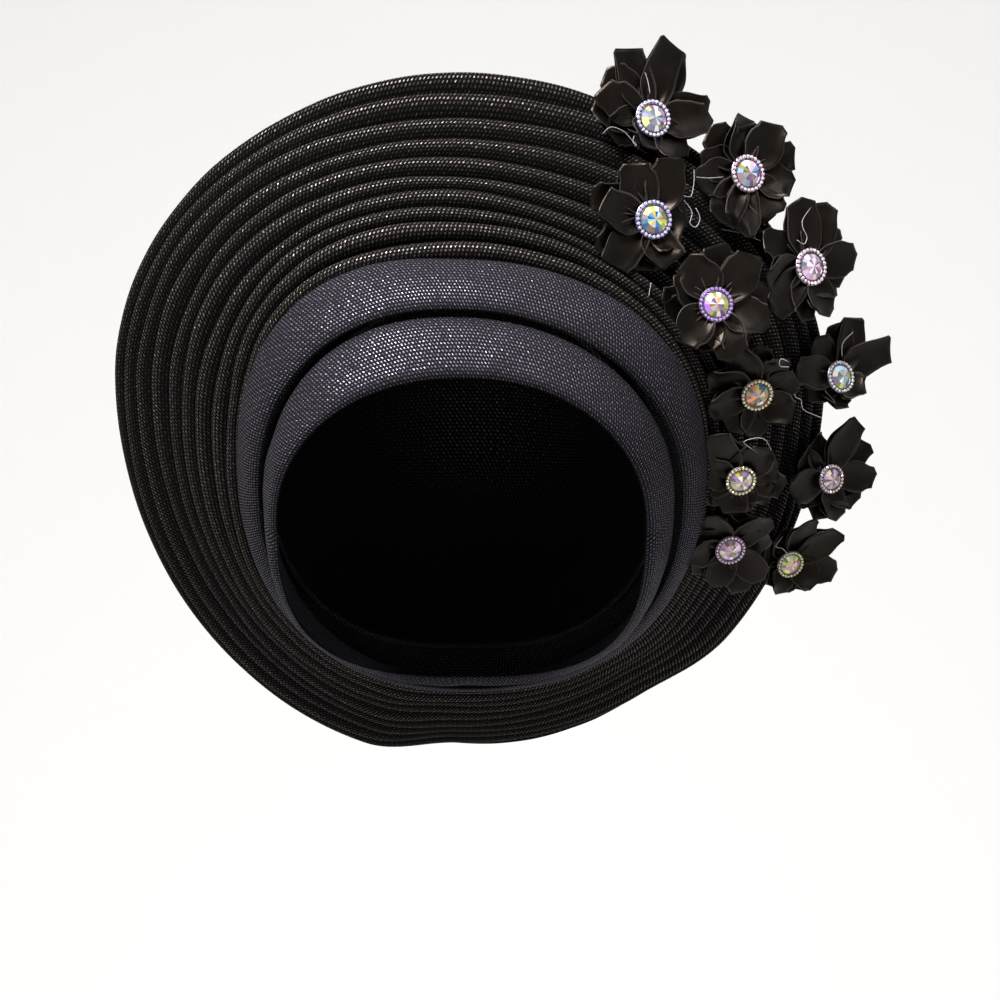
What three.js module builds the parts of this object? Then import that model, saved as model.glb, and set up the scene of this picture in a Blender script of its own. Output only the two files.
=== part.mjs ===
// A tied gele head tie: a cap of stiff woven cloth, two smooth bands over the
// brow, a fan of ten rolled pleats that all run round to the nape, a gathered
// tuck that closes them there, and eleven ribbon flowers with crystal buttons.
// Millimetres, +Z up. The open front looks along -Y, and the flowers are at +X.
// The origin is in the middle of the hollow.

import * as THREE from 'three';

// Driving sizes
const STATIONS = 28; // places round each band and pleat where its section is worked out
const GAP = 0.4; // clear space between one layer of cloth and the next
const SEAT = 0.35; // clear space where one piece rests on another
const BASE_CLEAR = 0.5; // the pleats' plies end this far outside the cap
const PLEAT_WALL = 1.5;
const LEAST_HOLLOW = 0.3; // half the space left inside the tightest fold
const BAND_WALL = 2.4;
const BAND_CROWN = 1.6; // how far the middle of a band stands proud of its edges
const BAND_SHOULDER = 0.88; // the share of that a third of the way across
const BAND_EDGE = 1.0; // the rounding of a band's edges
const CROWN_LIFT = 4.4; // the crown band lies this far over the brow band

// The cap is half of an egg shape, open at the front and underneath.
const CAP = {
  side: 78, up: 78, down: 85, back: 95, centreY: 2, centreZ: 10, wall: 2,
  rimAhead: 6, // the rim reaches this far in front of the innermost pleat's base
  rows: [0.66, 0.33], // rings between the innermost and the outermost pleat's bases, as shares of the rows
  shares: [0.4, 0.75], // rings between the outermost pleat's base and the back
};

// A loop is the path of an edge round the opening. left, right, top and foot are
// how far it reaches; waist is the height where it is widest; upper and lower
// say how square it is above and below the waist; lean moves its top sideways.
const PLEAT_LOOPS = [
  { left: 137.0, right: 139.6, top: 159.9, waist: 44, foot: -108.0, upper: 1.94, lower: 2.03, lean: -2.0 },
  { left: 133.0, right: 135.6, top: 150.2, waist: 40, foot: -104.5, upper: 2.06, lower: 2.07, lean: -1.5 },
  { left: 125.6, right: 129.0, top: 139.8, waist: 39, foot: -101.5, upper: 2.10, lower: 2.00, lean: -4.0 },
  { left: 119.4, right: 122.9, top: 132.9, waist: 36, foot: -97.5, upper: 2.05, lower: 2.05, lean: -7.0 },
  { left: 111.8, right: 116.3, top: 125.0, waist: 33, foot: -93.5, upper: 2.00, lower: 2.10, lean: -10.0 },
  { left: 107.4, right: 110.3, top: 119.2, waist: 29, foot: -90.0, upper: 1.96, lower: 2.15, lean: -11.0 },
  { left: 100.0, right: 104.6, top: 111.8, waist: 25, foot: -86.5, upper: 1.94, lower: 2.20, lean: -10.5 },
  { left: 94.4, right: 99.8, top: 106.1, waist: 19, foot: -83.0, upper: 2.02, lower: 2.25, lean: -9.5 },
  { left: 88.8, right: 94.8, top: 99.0, waist: 15, foot: -79.0, upper: 2.20, lower: 2.30, lean: -8.0 },
  { left: 84.0, right: 90.0, top: 91.1, waist: 9, foot: -75.4, upper: 2.30, lower: 2.30, lean: -6.5 },
];
const BROW_EDGE = { left: 69, right: 67.5, top: 43.5, waist: -12, foot: -72, upper: 2.1, lower: 3.0, lean: 0 };
const BROW_GROOVE = {
  left: 72.5, right: 78, top: 66.5, waist: -2, foot: -73, upper: 2.15, lower: 2.2, lean: -5,
};

// Towards the nape the pleats are drawn up together under the tuck: the angles
// where this starts, is full, lets go and ends, and how far the outermost one moves.
const GATHER = { start: 130, full: 150, letGo: 182, end: 198, lift: 7 };

// How far back (+Y) each loop lies above the opening, at the sides and at the nape.
const DEPTHS = {
  browEdge: { top: -94, side: -58, nape: 46 },
  browGroove: { top: -82, side: -42, nape: 52 },
  innerRoll: { top: -66, side: -22, nape: 60 },
  outerRoll: { top: -12, side: 20, nape: 88 },
  innerBase: { top: -42, side: -14, nape: 60 },
  outerBase: { top: 36, side: 46, nape: 81 },
};
// Where the crown band's upper edge lies on the innermost roll: straight in
// front of it, moved inwards above the opening and outwards at the sides.
const CROWN_EDGE = { overFace: -0.6, atSide: 0.15, clear: 1.35 };

// The tuck that closes the pleats under the nape.
// back is how far its middle lies behind the roll's, as a share of its width.
const TUCK = { start: 146, end: 196, steps: 9, width: 20, thick: 6, thinEnd: 0.3, clear: 0.75, back: 0.3 };

// Ribbon flowers: x and z of the middle, the reach of the petals, the diameter
// of the button, and the way it faces (yaw to +X, pitch upwards, in degrees).
const FLOWERS = [
  { x: 71.5, z: 146.0, reach: 27.0, button: 15.0, yaw: 24, pitch: 5 },
  { x: 108.5, z: 126.0, reach: 25.5, button: 15.0, yaw: 27, pitch: 3 },
  { x: 70.5, z: 105.0, reach: 25.0, button: 15.0, yaw: 20, pitch: 0 },
  { x: 133.5, z: 90.5, reach: 24.5, button: 15.0, yaw: 32, pitch: 3 },
  { x: 94.5, z: 73.5, reach: 22.5, button: 13.5, yaw: 10, pitch: 0 },
  { x: 147.5, z: 48.5, reach: 22.0, button: 13.2, yaw: 32, pitch: 6 },
  { x: 110.5, z: 41.5, reach: 20.5, button: 13.0, yaw: 14, pitch: -24 },
  { x: 146.5, z: 8.5, reach: 21.0, button: 12.0, yaw: 30, pitch: -8 },
  { x: 106.0, z: 8.0, reach: 19.0, button: 12.4, yaw: 12, pitch: -26 },
  { x: 103.5, z: -19.0, reach: 18.5, button: 12.4, yaw: 12, pitch: -26 },
  { x: 130.5, z: -25.5, reach: 19.0, button: 11.8, yaw: 22, pitch: -22 },
];
const FLOWER = {
  petals: 9, standOff: 9, wall: 1.3, pad: 5.5, flat: 0.36, valley: 0.72, shortTip: 0.9, cup: 4.5,
  clearOfRolls: 2.0, clearOfNext: 0.3, clearOfBand: 1.5,
};
// A button's cup: its foot, rim and well as shares of its radius, and its waist of its height.
const BUTTON = { sides: 10, height: 2.2, foot: 0.9, waist: 0.55, rim: 0.66, well: 0.94, recess: 1.2 };
const STONE = { sides: 8, foot: 0.7, table: 0.3, crown: 0.34, girdle: 0.08, pavilion: 0.12 };
const SEARCH = { rounds: 7, tries: 8, row: 6, angle: Math.PI / 3, narrower: 3 }; // how a flower's seat is found

// Materials
const COLOURS = {
  cloth: { color: 0x2a2731, roughness: 0.6, metalness: 0.2 },
  satin: { color: 0x100f0f, roughness: 0.35, metalness: 0 },
  setting: { color: 0xd6cfe0, roughness: 0.2, metalness: 0.4 },
  crystal: { color: 0xdfe8f4, roughness: 0.05, metalness: 0 },
};

const group = new THREE.Group();
const degrees = THREE.MathUtils.degToRad;
const vector = (x, y, z) => new THREE.Vector3(x, y, z);
const between = (a, b, share) => a.clone().lerp(b, share);

/** Depth at an angle round the opening: the side value is met at a quarter turn. */
function depthAt(depths, angle) {
  const whole = depths.nape - depths.top;
  const power = Math.log(whole / (depths.side - depths.top)) / Math.log(2);
  return depths.top + whole * ((1 - Math.cos(angle)) / 2) ** power;
}

/** The point of a loop at an angle, 0 above the opening and half a turn at the nape. */
function loopPoint(loop, depths, angle) {
  const across = Math.sin(angle);
  const up = Math.cos(angle);
  const power = 2 / (up > 0 ? loop.upper : loop.lower);
  const width = across < 0 ? loop.left : loop.right;
  const height = up > 0 ? loop.top - loop.waist : loop.waist - loop.foot;
  const x = Math.sign(across) * width * Math.abs(across) ** power + loop.lean * Math.max(up, 0) ** 2;
  const z = loop.waist + Math.sign(up) * height * Math.abs(up) ** power;
  return vector(x, depthAt(depths, angle), z);
}

/** The depths of pleat row 0 (outermost) to 9 (innermost), or of a place between rows. */
function rowDepths(row, outer, inner) {
  const share = row / (PLEAT_LOOPS.length - 1);
  const mix = (key) => THREE.MathUtils.lerp(outer[key], inner[key], share);
  return { top: mix('top'), side: mix('side'), nape: mix('nape') };
}

/** How much the pleats are drawn up at an angle, from 0 to 1. */
function gathered(angle) {
  const turn = THREE.MathUtils.euclideanModulo(THREE.MathUtils.radToDeg(angle), 360);
  const { smoothstep } = THREE.MathUtils;
  return smoothstep(turn, GATHER.start, GATHER.full) - smoothstep(turn, GATHER.letGo, GATHER.end);
}

/** The middle of the rolled edge of a pleat row. Rows past either end are carried on evenly. */
function rollPoint(row, angle) {
  const last = PLEAT_LOOPS.length - 1;
  const low = Math.min(Math.max(Math.floor(row), 0), last - 1);
  const at = (index) => {
    const depths = rowDepths(index, DEPTHS.outerRoll, DEPTHS.innerRoll);
    return loopPoint(PLEAT_LOOPS[index], depths, angle);
  };
  const point = between(at(low), at(low + 1), row - low);
  point.z += GATHER.lift * gathered(angle) * (1 - row / last);
  return point;
}

/** A point on the cap's surface, or on its inner face, at a depth and an angle. */
function capPoint(depth, angle, inset) {
  const share = Math.min(Math.max((depth - CAP.centreY) / CAP.back, -1), 1);
  const ring = Math.sqrt(1 - share * share);
  const height = (Math.cos(angle) > 0 ? CAP.up : CAP.down) - inset;
  return vector(
    (CAP.side - inset) * ring * Math.sin(angle),
    CAP.centreY + (CAP.back - inset) * share,
    CAP.centreZ + height * ring * Math.cos(angle),
  );
}

/** Where the plies of a pleat row meet the cap. */
function basePoint(row, angle) {
  const depth = depthAt(rowDepths(row, DEPTHS.outerBase, DEPTHS.innerBase), angle);
  return capPoint(depth, angle, -BASE_CLEAR);
}

/** Makes a closed mesh from vertices and triangles, with its faces turned outwards. */
function addSolid(name, points, triangles, look) {
  let volume = 0;
  for (const [a, b, c] of triangles) {
    volume += points[a].dot(points[b].clone().cross(points[c]));
  }
  const turned = volume < 0 ? triangles.map(([a, b, c]) => [a, c, b]) : triangles;
  const geometry = new THREE.BufferGeometry();
  const places = points.flatMap((point) => point.toArray());
  geometry.setAttribute('position', new THREE.Float32BufferAttribute(places, 3));
  geometry.setIndex(turned.flat());
  geometry.computeVertexNormals();
  const mesh = new THREE.Mesh(geometry, new THREE.MeshStandardMaterial(COLOURS[look]));
  mesh.name = name;
  group.add(mesh);
}

/**
 * Joins sections into a solid. closed makes a ring; otherwise the two end
 * sections are capped. A section's points carry a height, and each face is
 * split from its low corner to its high one, so that neighbouring layers of
 * cloth are split alike and stay clear of each other.
 */
function loft(sections, closed) {
  const size = sections[0].length;
  const points = sections.flatMap((section) => section.map((corner) => corner.point));
  const triangles = [];
  const count = closed ? sections.length : sections.length - 1;
  for (let i = 0; i < count; i += 1) {
    const here = i * size;
    const next = ((i + 1) % sections.length) * size;
    for (let j = 0; j < size; j += 1) {
      const k = (j + 1) % size;
      if (sections[i][k].height >= sections[i][j].height) {
        triangles.push([here + j, here + k, next + k], [here + j, next + k, next + j]);
      } else {
        triangles.push([here + k, next + k, next + j], [here + k, next + j, here + j]);
      }
    }
  }
  if (!closed) {
    const last = (sections.length - 1) * size;
    for (let j = 1; j < size - 1; j += 1) {
      triangles.push([0, j + 1, j], [last, last + j, last + j + 1]);
    }
  }
  return { points, triangles };
}

const STATION_STEP = (2 * Math.PI) / STATIONS;
const stationAngles = Array.from({ length: STATIONS }, (_, i) => i * STATION_STEP);

/** The line between two neighbouring rows: half way between their rolls and their bases. */
function borderLine(row, angle) {
  return {
    edge: between(rollPoint(row, angle), rollPoint(row + 1, angle), 0.5),
    base: between(basePoint(row, angle), basePoint(row + 1, angle), 0.5),
  };
}

/**
 * One station of a pleat: a folded sheet with a round edge at the front and two
 * plies that run back to the cap. The outer and inner lines are those of the
 * rows on either side, each drawn in by half the gap.
 */
function pleatSection(row, angle) {
  const outer = borderLine(row - 1, angle);
  const inner = borderLine(row, angle);
  const halfWay = (level) => between(outer[level], inner[level], 0.5);
  const middle = { edge: halfWay('edge'), base: halfWay('base') };
  const forward = middle.edge.clone().sub(middle.base).normalize();
  const half = { edge: outer.edge.distanceTo(middle.edge), base: outer.base.distanceTo(middle.base) };
  const line = (level, inset) => {
    const share = Math.max(half[level] - inset, LEAST_HOLLOW) / half[level];
    const [out, inside] = [outer, inner].map((side) => between(middle[level], side[level], share));
    return { out, in: inside };
  };
  const skin = (inset, steps) => {
    const edge = line('edge', inset);
    const base = line('base', inset);
    const reach = edge.out.distanceTo(edge.in) / 2;
    const corners = [{ point: base.out, height: 0 }];
    for (let i = 0; i <= steps; i += 1) {
      const turn = (Math.PI * i) / steps;
      const side = edge.out.clone().sub(middle.edge).multiplyScalar(Math.cos(turn));
      const point = middle.edge.clone().add(side).addScaledVector(forward, reach * Math.sin(turn));
      corners.push({ point, height: 1 + Math.sin(turn) });
    }
    corners.push({ point: base.in, height: 0 });
    return corners;
  };
  return [...skin(GAP / 2, 4), ...skin(GAP / 2 + PLEAT_WALL, 2).reverse()];
}

function addPleats() {
  PLEAT_LOOPS.forEach((_, row) => {
    const { points, triangles } = loft(stationAngles.map((angle) => pleatSection(row, angle)), true);
    addSolid(`pleat_${String(row + 1).padStart(2, '0')}`, points, triangles, 'cloth');
  });
}

/** The cap: rings from the rim to the back, an outer face and an inner one. */
function addCap() {
  const rows = PLEAT_LOOPS.length - 1;
  const rings = [];
  const baseDepth = (row) => (angle) => depthAt(rowDepths(row, DEPTHS.outerBase, DEPTHS.innerBase), angle);
  const depthOfRing = [
    (angle) => baseDepth(rows)(angle) - CAP.rimAhead,
    ...CAP.rows.map((share) => baseDepth(rows * share)),
    baseDepth(0),
  ];
  const back = (share) => (angle) => {
    const start = Math.asin((depthOfRing[3](angle) - CAP.centreY) / CAP.back);
    return CAP.centreY + CAP.back * Math.sin(THREE.MathUtils.lerp(start, Math.PI / 2, share));
  };
  depthOfRing.push(...CAP.shares.map(back));
  for (const inset of [0, CAP.wall]) {
    for (const depth of depthOfRing) {
      rings.push(stationAngles.map((angle) => capPoint(depth(angle), angle, inset)));
    }
  }
  const points = rings.flat();
  const triangles = [];
  const ringCount = depthOfRing.length;
  const joinRings = (a, b) => {
    for (let i = 0; i < STATIONS; i += 1) {
      const k = (i + 1) % STATIONS;
      const [p, q, r, s] = [a * STATIONS + i, a * STATIONS + k, b * STATIONS + k, b * STATIONS + i];
      triangles.push([p, q, r], [p, r, s]);
    }
  };
  for (let ring = 0; ring < ringCount - 1; ring += 1) {
    joinRings(ring, ring + 1);
    joinRings(ringCount + ring + 1, ringCount + ring);
  }
  joinRings(ringCount, 0);
  for (const [ring, inset, turn] of [[ringCount - 1, 0, 1], [2 * ringCount - 1, CAP.wall, -1]]) {
    const pole = points.length;
    points.push(capPoint(CAP.centreY + CAP.back, 0, inset));
    for (let i = 0; i < STATIONS; i += 1) {
      const edge = [ring * STATIONS + i, ring * STATIONS + ((i + 1) % STATIONS)];
      triangles.push(turn > 0 ? [edge[0], edge[1], pole] : [edge[1], edge[0], pole]);
    }
  }
  addSolid('crown_cap', points, triangles, 'cloth');
}

/** The crown band's upper edge, which lies against the innermost roll. */
function crownEdge(angle) {
  const row = PLEAT_LOOPS.length - 1;
  const centre = rollPoint(row, angle);
  const radius = borderLine(row - 1, angle).edge.distanceTo(centre);
  const tilt = CROWN_EDGE.overFace + (CROWN_EDGE.atSide - CROWN_EDGE.overFace) * Math.sin(angle) ** 2;
  const outwards = vector(centre.x, 0, centre.z - CAP.centreZ).normalize();
  const way = vector(0, -1, 0).addScaledVector(outwards, tilt).normalize();
  return centre.addScaledVector(way, radius + CROWN_EDGE.clear);
}

/** The way a strip of cloth faces: square to its own width and to its run round the opening. */
function facingOf(start, end, tangent) {
  return tangent.clone().cross(end.clone().sub(start)).normalize();
}

/**
 * One station of a band: a strip of folded cloth from one edge to the other,
 * round at both edges and a little crowned between them. outs are the ways its
 * two edges face. lift raises its first edge.
 */
function bandSection(start, end, outs, lift) {
  const along = end.clone().sub(start).normalize();
  const place = (share, level, bulge) => {
    const rise = lift * (1 - share) + level + bulge;
    const out = between(outs[0], outs[1], share).normalize();
    return { point: between(start, end, share).addScaledVector(out, rise), height: share };
  };
  const round = (share, way) => {
    const corner = place(share, BAND_WALL / 2, 0);
    corner.point.addScaledVector(along, way * BAND_EDGE);
    return corner;
  };
  return [
    place(0, 0, 0), round(0, -1), place(0, BAND_WALL, 0),
    place(0.33, BAND_WALL, BAND_CROWN * BAND_SHOULDER), place(0.67, BAND_WALL, BAND_CROWN * BAND_SHOULDER),
    place(1, BAND_WALL, 0), round(1, 1), place(1, 0, 0), place(0.5, 0, 0),
  ];
}

function addBands() {
  const step = 0.01;
  const brow = [];
  const crown = [];
  for (const angle of stationAngles) {
    const edge = loopPoint(BROW_EDGE, DEPTHS.browEdge, angle);
    const groove = loopPoint(BROW_GROOVE, DEPTHS.browGroove, angle);
    const top = crownEdge(angle);
    const tangent = loopPoint(BROW_GROOVE, DEPTHS.browGroove, angle + step)
      .sub(loopPoint(BROW_GROOVE, DEPTHS.browGroove, angle - step)).normalize();
    const browOut = facingOf(edge, groove, tangent);
    const crownOut = facingOf(groove, top, tangent);
    const shared = browOut.clone().add(crownOut).normalize();
    brow.push(bandSection(edge, groove, [browOut, shared], 0));
    crown.push(bandSection(groove, top, [shared, crownOut], CROWN_LIFT));
  }
  for (const [name, sections] of [['brow_band', brow], ['crown_band', crown]]) {
    const { points, triangles } = loft(sections, true);
    addSolid(name, points, triangles, 'cloth');
  }
}

/**
 * The front of the fan at a pleat row and angle: the middle of the roll there,
 * the way the fan faces, and how far the roll stands in front of its middle.
 * It is measured on the straight stretch between two stations, as the solid is.
 */
function fanFront(row, angle) {
  const first = Math.floor(angle / STATION_STEP) * STATION_STEP;
  const [here, next] = [first, first + STATION_STEP].map((station) => {
    const outer = borderLine(row - 1, station);
    const inner = borderLine(row, station);
    const middle = between(outer.edge, inner.edge, 0.5);
    const forward = middle.clone().sub(between(outer.base, inner.base, 0.5)).normalize();
    return { middle, forward, half: outer.edge.clone().sub(middle) };
  });
  const share = (angle - first) / STATION_STEP;
  const half = between(here.half, next.half, share);
  const facing = next.middle.clone().sub(here.middle).cross(half).normalize();
  if (facing.y > 0) {
    facing.negate();
  }
  const forward = between(here.forward, next.forward, share);
  const radius = (half.length() - GAP / 2) * forward.dot(facing);
  return { centre: between(here.middle, next.middle, share), facing, radius };
}

/** The seat on the fan whose flower, standing off from it, has its middle at x and z. */
function findSeat(x, z) {
  let best = { miss: Infinity, row: 4, angle: Math.PI / 4 };
  const { rounds, tries, narrower } = SEARCH;
  let span = { row: SEARCH.row, angle: SEARCH.angle };
  for (let round = 0; round < rounds; round += 1) {
    const from = { ...best };
    for (let i = -tries; i <= tries; i += 1) {
      for (let j = -tries; j <= tries; j += 1) {
        const row = Math.min(Math.max(from.row + (span.row * i) / tries, 0), 8.6);
        const angle = from.angle + (span.angle * j) / tries;
        const { centre, facing, radius } = fanFront(row, angle);
        const middle = centre.clone().addScaledVector(facing, radius + FLOWER.standOff);
        const miss = Math.hypot(middle.x - x, middle.z - z);
        if (miss < best.miss) {
          best = { miss, row, angle, centre, facing, radius, middle };
        }
      }
    }
    span = { row: span.row / narrower, angle: span.angle / narrower };
  }
  return best;
}

/** Two directions across an axis, the first one as level as it can be. */
function crossways(axis) {
  const level = vector(0, 0, 1).cross(axis).normalize();
  return [level, axis.clone().cross(level).normalize()];
}

function ringPoints(centre, axis, radii, rise) {
  const [level, upright] = crossways(axis);
  return radii.map((radius, i) => {
    const turn = (2 * Math.PI * i) / radii.length;
    return centre.clone()
      .addScaledVector(level, radius * Math.cos(turn))
      .addScaledVector(upright, radius * Math.sin(turn))
      .addScaledVector(axis, rise);
  });
}

/** Closes a stack of rings of equal size between a first and a last middle point. */
function stackRings(start, rings, end) {
  const size = rings[0].length;
  const points = [...rings.flat(), start, end];
  const triangles = [];
  const last = (rings.length - 1) * size;
  for (let i = 0; i < size; i += 1) {
    const k = (i + 1) % size;
    for (let ring = 0; ring < rings.length - 1; ring += 1) {
      const [a, b] = [ring * size, (ring + 1) * size];
      triangles.push([a + i, a + k, b + k], [a + i, b + k, b + i]);
    }
    triangles.push([rings.length * size, k, i], [rings.length * size + 1, last + i, last + k]);
  }
  return { points, triangles };
}

/** How far a flower may reach: half way to each neighbour, and up to the crown band. */
function reachLimits(seat, others) {
  const limits = others.map((other) => {
    const way = other.clone().sub(seat.middle);
    return { room: way.length() / 2 - FLOWER.clearOfNext, way: way.normalize() };
  });
  const edges = Array.from({ length: 90 }, (_, i) => crownEdge(degrees(2 * i)).sub(seat.middle));
  const nearest = edges.reduce((a, b) => (a.lengthSq() < b.lengthSq() ? a : b));
  limits.push({ room: nearest.length() - BAND_WALL - FLOWER.clearOfBand, way: nearest.normalize() });
  return limits;
}

/** A flower: a small pad on the rolls, and over it a cupped star of petals. */
function addFlower(name, flower, seat, limits) {
  const { petals, wall, pad, flat, valley, shortTip, cup, clearOfRolls } = FLOWER;
  const spokes = Array.from({ length: petals * 2 }, (_, i) => i);
  const reachOf = (i) => flower.reach * (i % 2 === 1 ? valley : (i % 4 === 0 ? 1 : shortTip));
  const tips = ringPoints(seat.middle, flower.axis, spokes.map(reachOf), 0);
  const lowest = seat.radius + clearOfRolls + wall;
  const fitted = tips.map((tip, i) => {
    tip.addScaledVector(flower.axis, cup * (reachOf(i) / flower.reach) ** 2);
    const height = tip.clone().sub(seat.centre).dot(seat.facing);
    tip.addScaledVector(seat.facing, Math.max(lowest - height, 0));
    const arm = tip.clone().sub(seat.middle);
    const shares = limits.map(({ way, room }) => Math.min(room / Math.max(arm.dot(way), room), 1));
    return arm.multiplyScalar(Math.min(...shares));
  });
  const down = flower.axis.clone().multiplyScalar(-wall);
  const seatMiddle = seat.centre.clone().addScaledVector(seat.facing, seat.radius + SEAT);
  const flatRadii = spokes.map(() => flower.reach * flat);
  const rings = [
    ringPoints(seatMiddle, seat.facing, spokes.map(() => pad), 0),
    ringPoints(seat.middle, flower.axis, flatRadii, -wall),
    fitted.map((arm) => seat.middle.clone().add(arm).add(down)),
    fitted.map((arm) => seat.middle.clone().add(arm)),
    ringPoints(seat.middle, flower.axis, flatRadii, 0),
  ];
  const { points, triangles } = stackRings(seatMiddle, rings, seat.middle);
  addSolid(name, points, triangles, 'satin');
}

/** A button's setting: a round cup with a raised rim that carries the small halo stones. */
function addSetting(name, flower, seat) {
  const radius = flower.button / 2;
  const { sides, height, foot, waist, rim, well, recess } = BUTTON;
  const base = seat.middle.clone().addScaledVector(flower.axis, SEAT);
  const ring = (size, rise) => ringPoints(base, flower.axis, Array(sides).fill(size), rise);
  const rings = [
    ring(radius * foot, 0), ring(radius, height * waist), ring(radius * rim, height),
    ring(radius * rim * well, height - recess),
  ];
  const floor = base.clone().addScaledVector(flower.axis, height - recess);
  const { points, triangles } = stackRings(base, rings, floor);
  addSolid(name, points, triangles, 'setting');
}

/** The cut stone: a flat back, a thin girdle, eight crown facets and a small table. */
function addStone(name, flower, seat) {
  const radius = (flower.button / 2) * BUTTON.rim * BUTTON.well - SEAT;
  const rise = SEAT + BUTTON.height - BUTTON.recess + SEAT;
  const base = seat.middle.clone().addScaledVector(flower.axis, rise);
  const ring = (size, up) => ringPoints(base, flower.axis, Array(STONE.sides).fill(size), up);
  const crownStart = radius * (STONE.pavilion + STONE.girdle);
  const top = crownStart + radius * STONE.crown;
  const rings = [
    ring(radius * STONE.foot, 0), ring(radius, radius * STONE.pavilion), ring(radius, crownStart),
    ring(radius * STONE.table, top),
  ];
  const { points, triangles } = stackRings(base, rings, base.clone().addScaledVector(flower.axis, top));
  addSolid(name, points, triangles, 'crystal');
}

function addFlowers() {
  const placed = FLOWERS.map((row) => {
    const [yaw, pitch] = [degrees(row.yaw), degrees(row.pitch)];
    const axis = vector(Math.sin(yaw) * Math.cos(pitch), -Math.cos(yaw) * Math.cos(pitch), Math.sin(pitch));
    return { flower: { ...row, axis }, seat: findSeat(row.x, row.z) };
  });
  placed.forEach(({ flower, seat }, i) => {
    const number = String(i + 1).padStart(2, '0');
    const others = placed.filter((_, k) => k !== i).map((other) => other.seat.middle);
    addFlower(`flower_${number}`, flower, seat, reachLimits(seat, others));
    addSetting(`setting_${number}`, flower, seat);
    addStone(`stone_${number}`, flower, seat);
  });
}

/** The tuck: a flat bundle of cloth that lies along the outermost pleat under the nape. */
function addTuck() {
  const sections = [];
  for (let i = 0; i < TUCK.steps; i += 1) {
    const share = i / (TUCK.steps - 1);
    const angle = degrees(THREE.MathUtils.lerp(TUCK.start, TUCK.end, share));
    const { centre, radius } = fanFront(0, angle);
    const inwards = rollPoint(1, angle).sub(centre).normalize();
    const back = basePoint(0, angle).sub(centre).normalize();
    const away = back.clone().multiplyScalar(inwards.dot(back)).sub(inwards).normalize();
    const full = THREE.MathUtils.lerp(TUCK.thinEnd, 1, Math.sin(Math.PI * share));
    const [thick, width] = [TUCK.thick * full, TUCK.width * full];
    const middle = centre.clone()
      .addScaledVector(away, radius + TUCK.clear + thick / 2)
      .addScaledVector(back, width * TUCK.back);
    const section = [];
    for (let j = 0; j < 8; j += 1) {
      const turn = (2 * Math.PI * j) / 8;
      const point = middle.clone()
        .addScaledVector(away, (thick / 2) * Math.cos(turn))
        .addScaledVector(back, (width / 2) * Math.sin(turn));
      section.push({ point, height: 0 });
    }
    sections.push(section);
  }
  const { points, triangles } = loft(sections, false);
  addSolid('nape_tuck', points, triangles, 'cloth');
}

addCap();
addBands();
addPleats();
addTuck();
addFlowers();

export default group;
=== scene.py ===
# %% [markdown]
# # A tied gele head tie
# A gele is a head tie folded from one long stiff cloth. This one is sewn ready-tied: a black mesh
# brocade with fine metallic flecks, two smooth bands round the opening, ten rolled pleats that stand
# round them as a fan, and eleven black satin ribbon flowers with crystal buttons.
# The frame holds the same pieces as plain solids at their real size. Each is dressed here: the shapes
# are worked out with numpy in millimetres, and one function turns them to metres.

# %% Load the frame
from collections import namedtuple

import bpy
import numpy as np
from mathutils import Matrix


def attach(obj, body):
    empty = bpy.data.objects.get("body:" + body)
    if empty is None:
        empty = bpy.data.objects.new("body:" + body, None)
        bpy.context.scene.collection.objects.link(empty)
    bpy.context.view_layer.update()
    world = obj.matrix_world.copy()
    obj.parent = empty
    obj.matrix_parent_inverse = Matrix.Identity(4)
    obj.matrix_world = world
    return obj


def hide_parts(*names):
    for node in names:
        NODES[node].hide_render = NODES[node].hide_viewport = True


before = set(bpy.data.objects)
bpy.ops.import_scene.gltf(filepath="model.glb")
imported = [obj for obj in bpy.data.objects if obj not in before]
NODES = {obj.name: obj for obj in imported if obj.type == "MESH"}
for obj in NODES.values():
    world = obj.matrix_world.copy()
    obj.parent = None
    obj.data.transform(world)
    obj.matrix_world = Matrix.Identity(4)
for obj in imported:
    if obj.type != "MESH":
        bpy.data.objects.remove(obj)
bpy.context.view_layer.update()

# %% [markdown]
# ## Camera
# The photo was taken level, from about a metre in front, so the camera looks straight along +Y. The
# same numbers turn a pixel of the photo into a ray, which places the petals further down. Black cloth
# on white needs both ends of the scale, so the view is the plain one that leaves levels as they are.

# %% Camera
MM = 0.001
PHOTO_SIZE = 1000
EYE = np.array([13.5, -1075.0, 0.0])
PIXEL = 0.000365  # millimetres across one pixel for each millimetre away from the eye
SENSOR = 36.0


def rays(pixels):
    """Directions from the eye through pixels of the photo, one unit along +Y."""
    pixels = np.asarray(pixels, float)
    across = (pixels[..., 0] - PHOTO_SIZE / 2) * PIXEL
    upward = (PHOTO_SIZE / 2 - pixels[..., 1]) * PIXEL
    return np.stack([across, np.ones_like(across), upward], axis=-1)


camera = bpy.data.objects.new("camera", bpy.data.cameras.new("camera"))
camera.data.sensor_width = SENSOR
camera.data.lens = SENSOR / (PHOTO_SIZE * PIXEL)
camera.location = EYE * MM
camera.rotation_euler = (np.pi / 2, 0, 0)
bpy.context.scene.collection.objects.link(camera)
bpy.context.scene.camera = camera
bpy.context.scene.view_settings.view_transform = "Standard"
print("lens", round(camera.data.lens, 2), "mm")

# %% [markdown]
# ## Making a mesh from arrays
# A surface is a grid of points: rows across the cloth and columns along it. Neighbouring points make
# the faces, and where the grid closes on itself its last column joins the first. The cloth's own
# millimetres go into the UV map, so that the weave keeps one scale and follows every fold.


# %% Grids and meshes
def unit(vectors):
    """Vectors divided by their own length."""
    return vectors / np.linalg.norm(vectors, axis=-1, keepdims=True)


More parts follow.
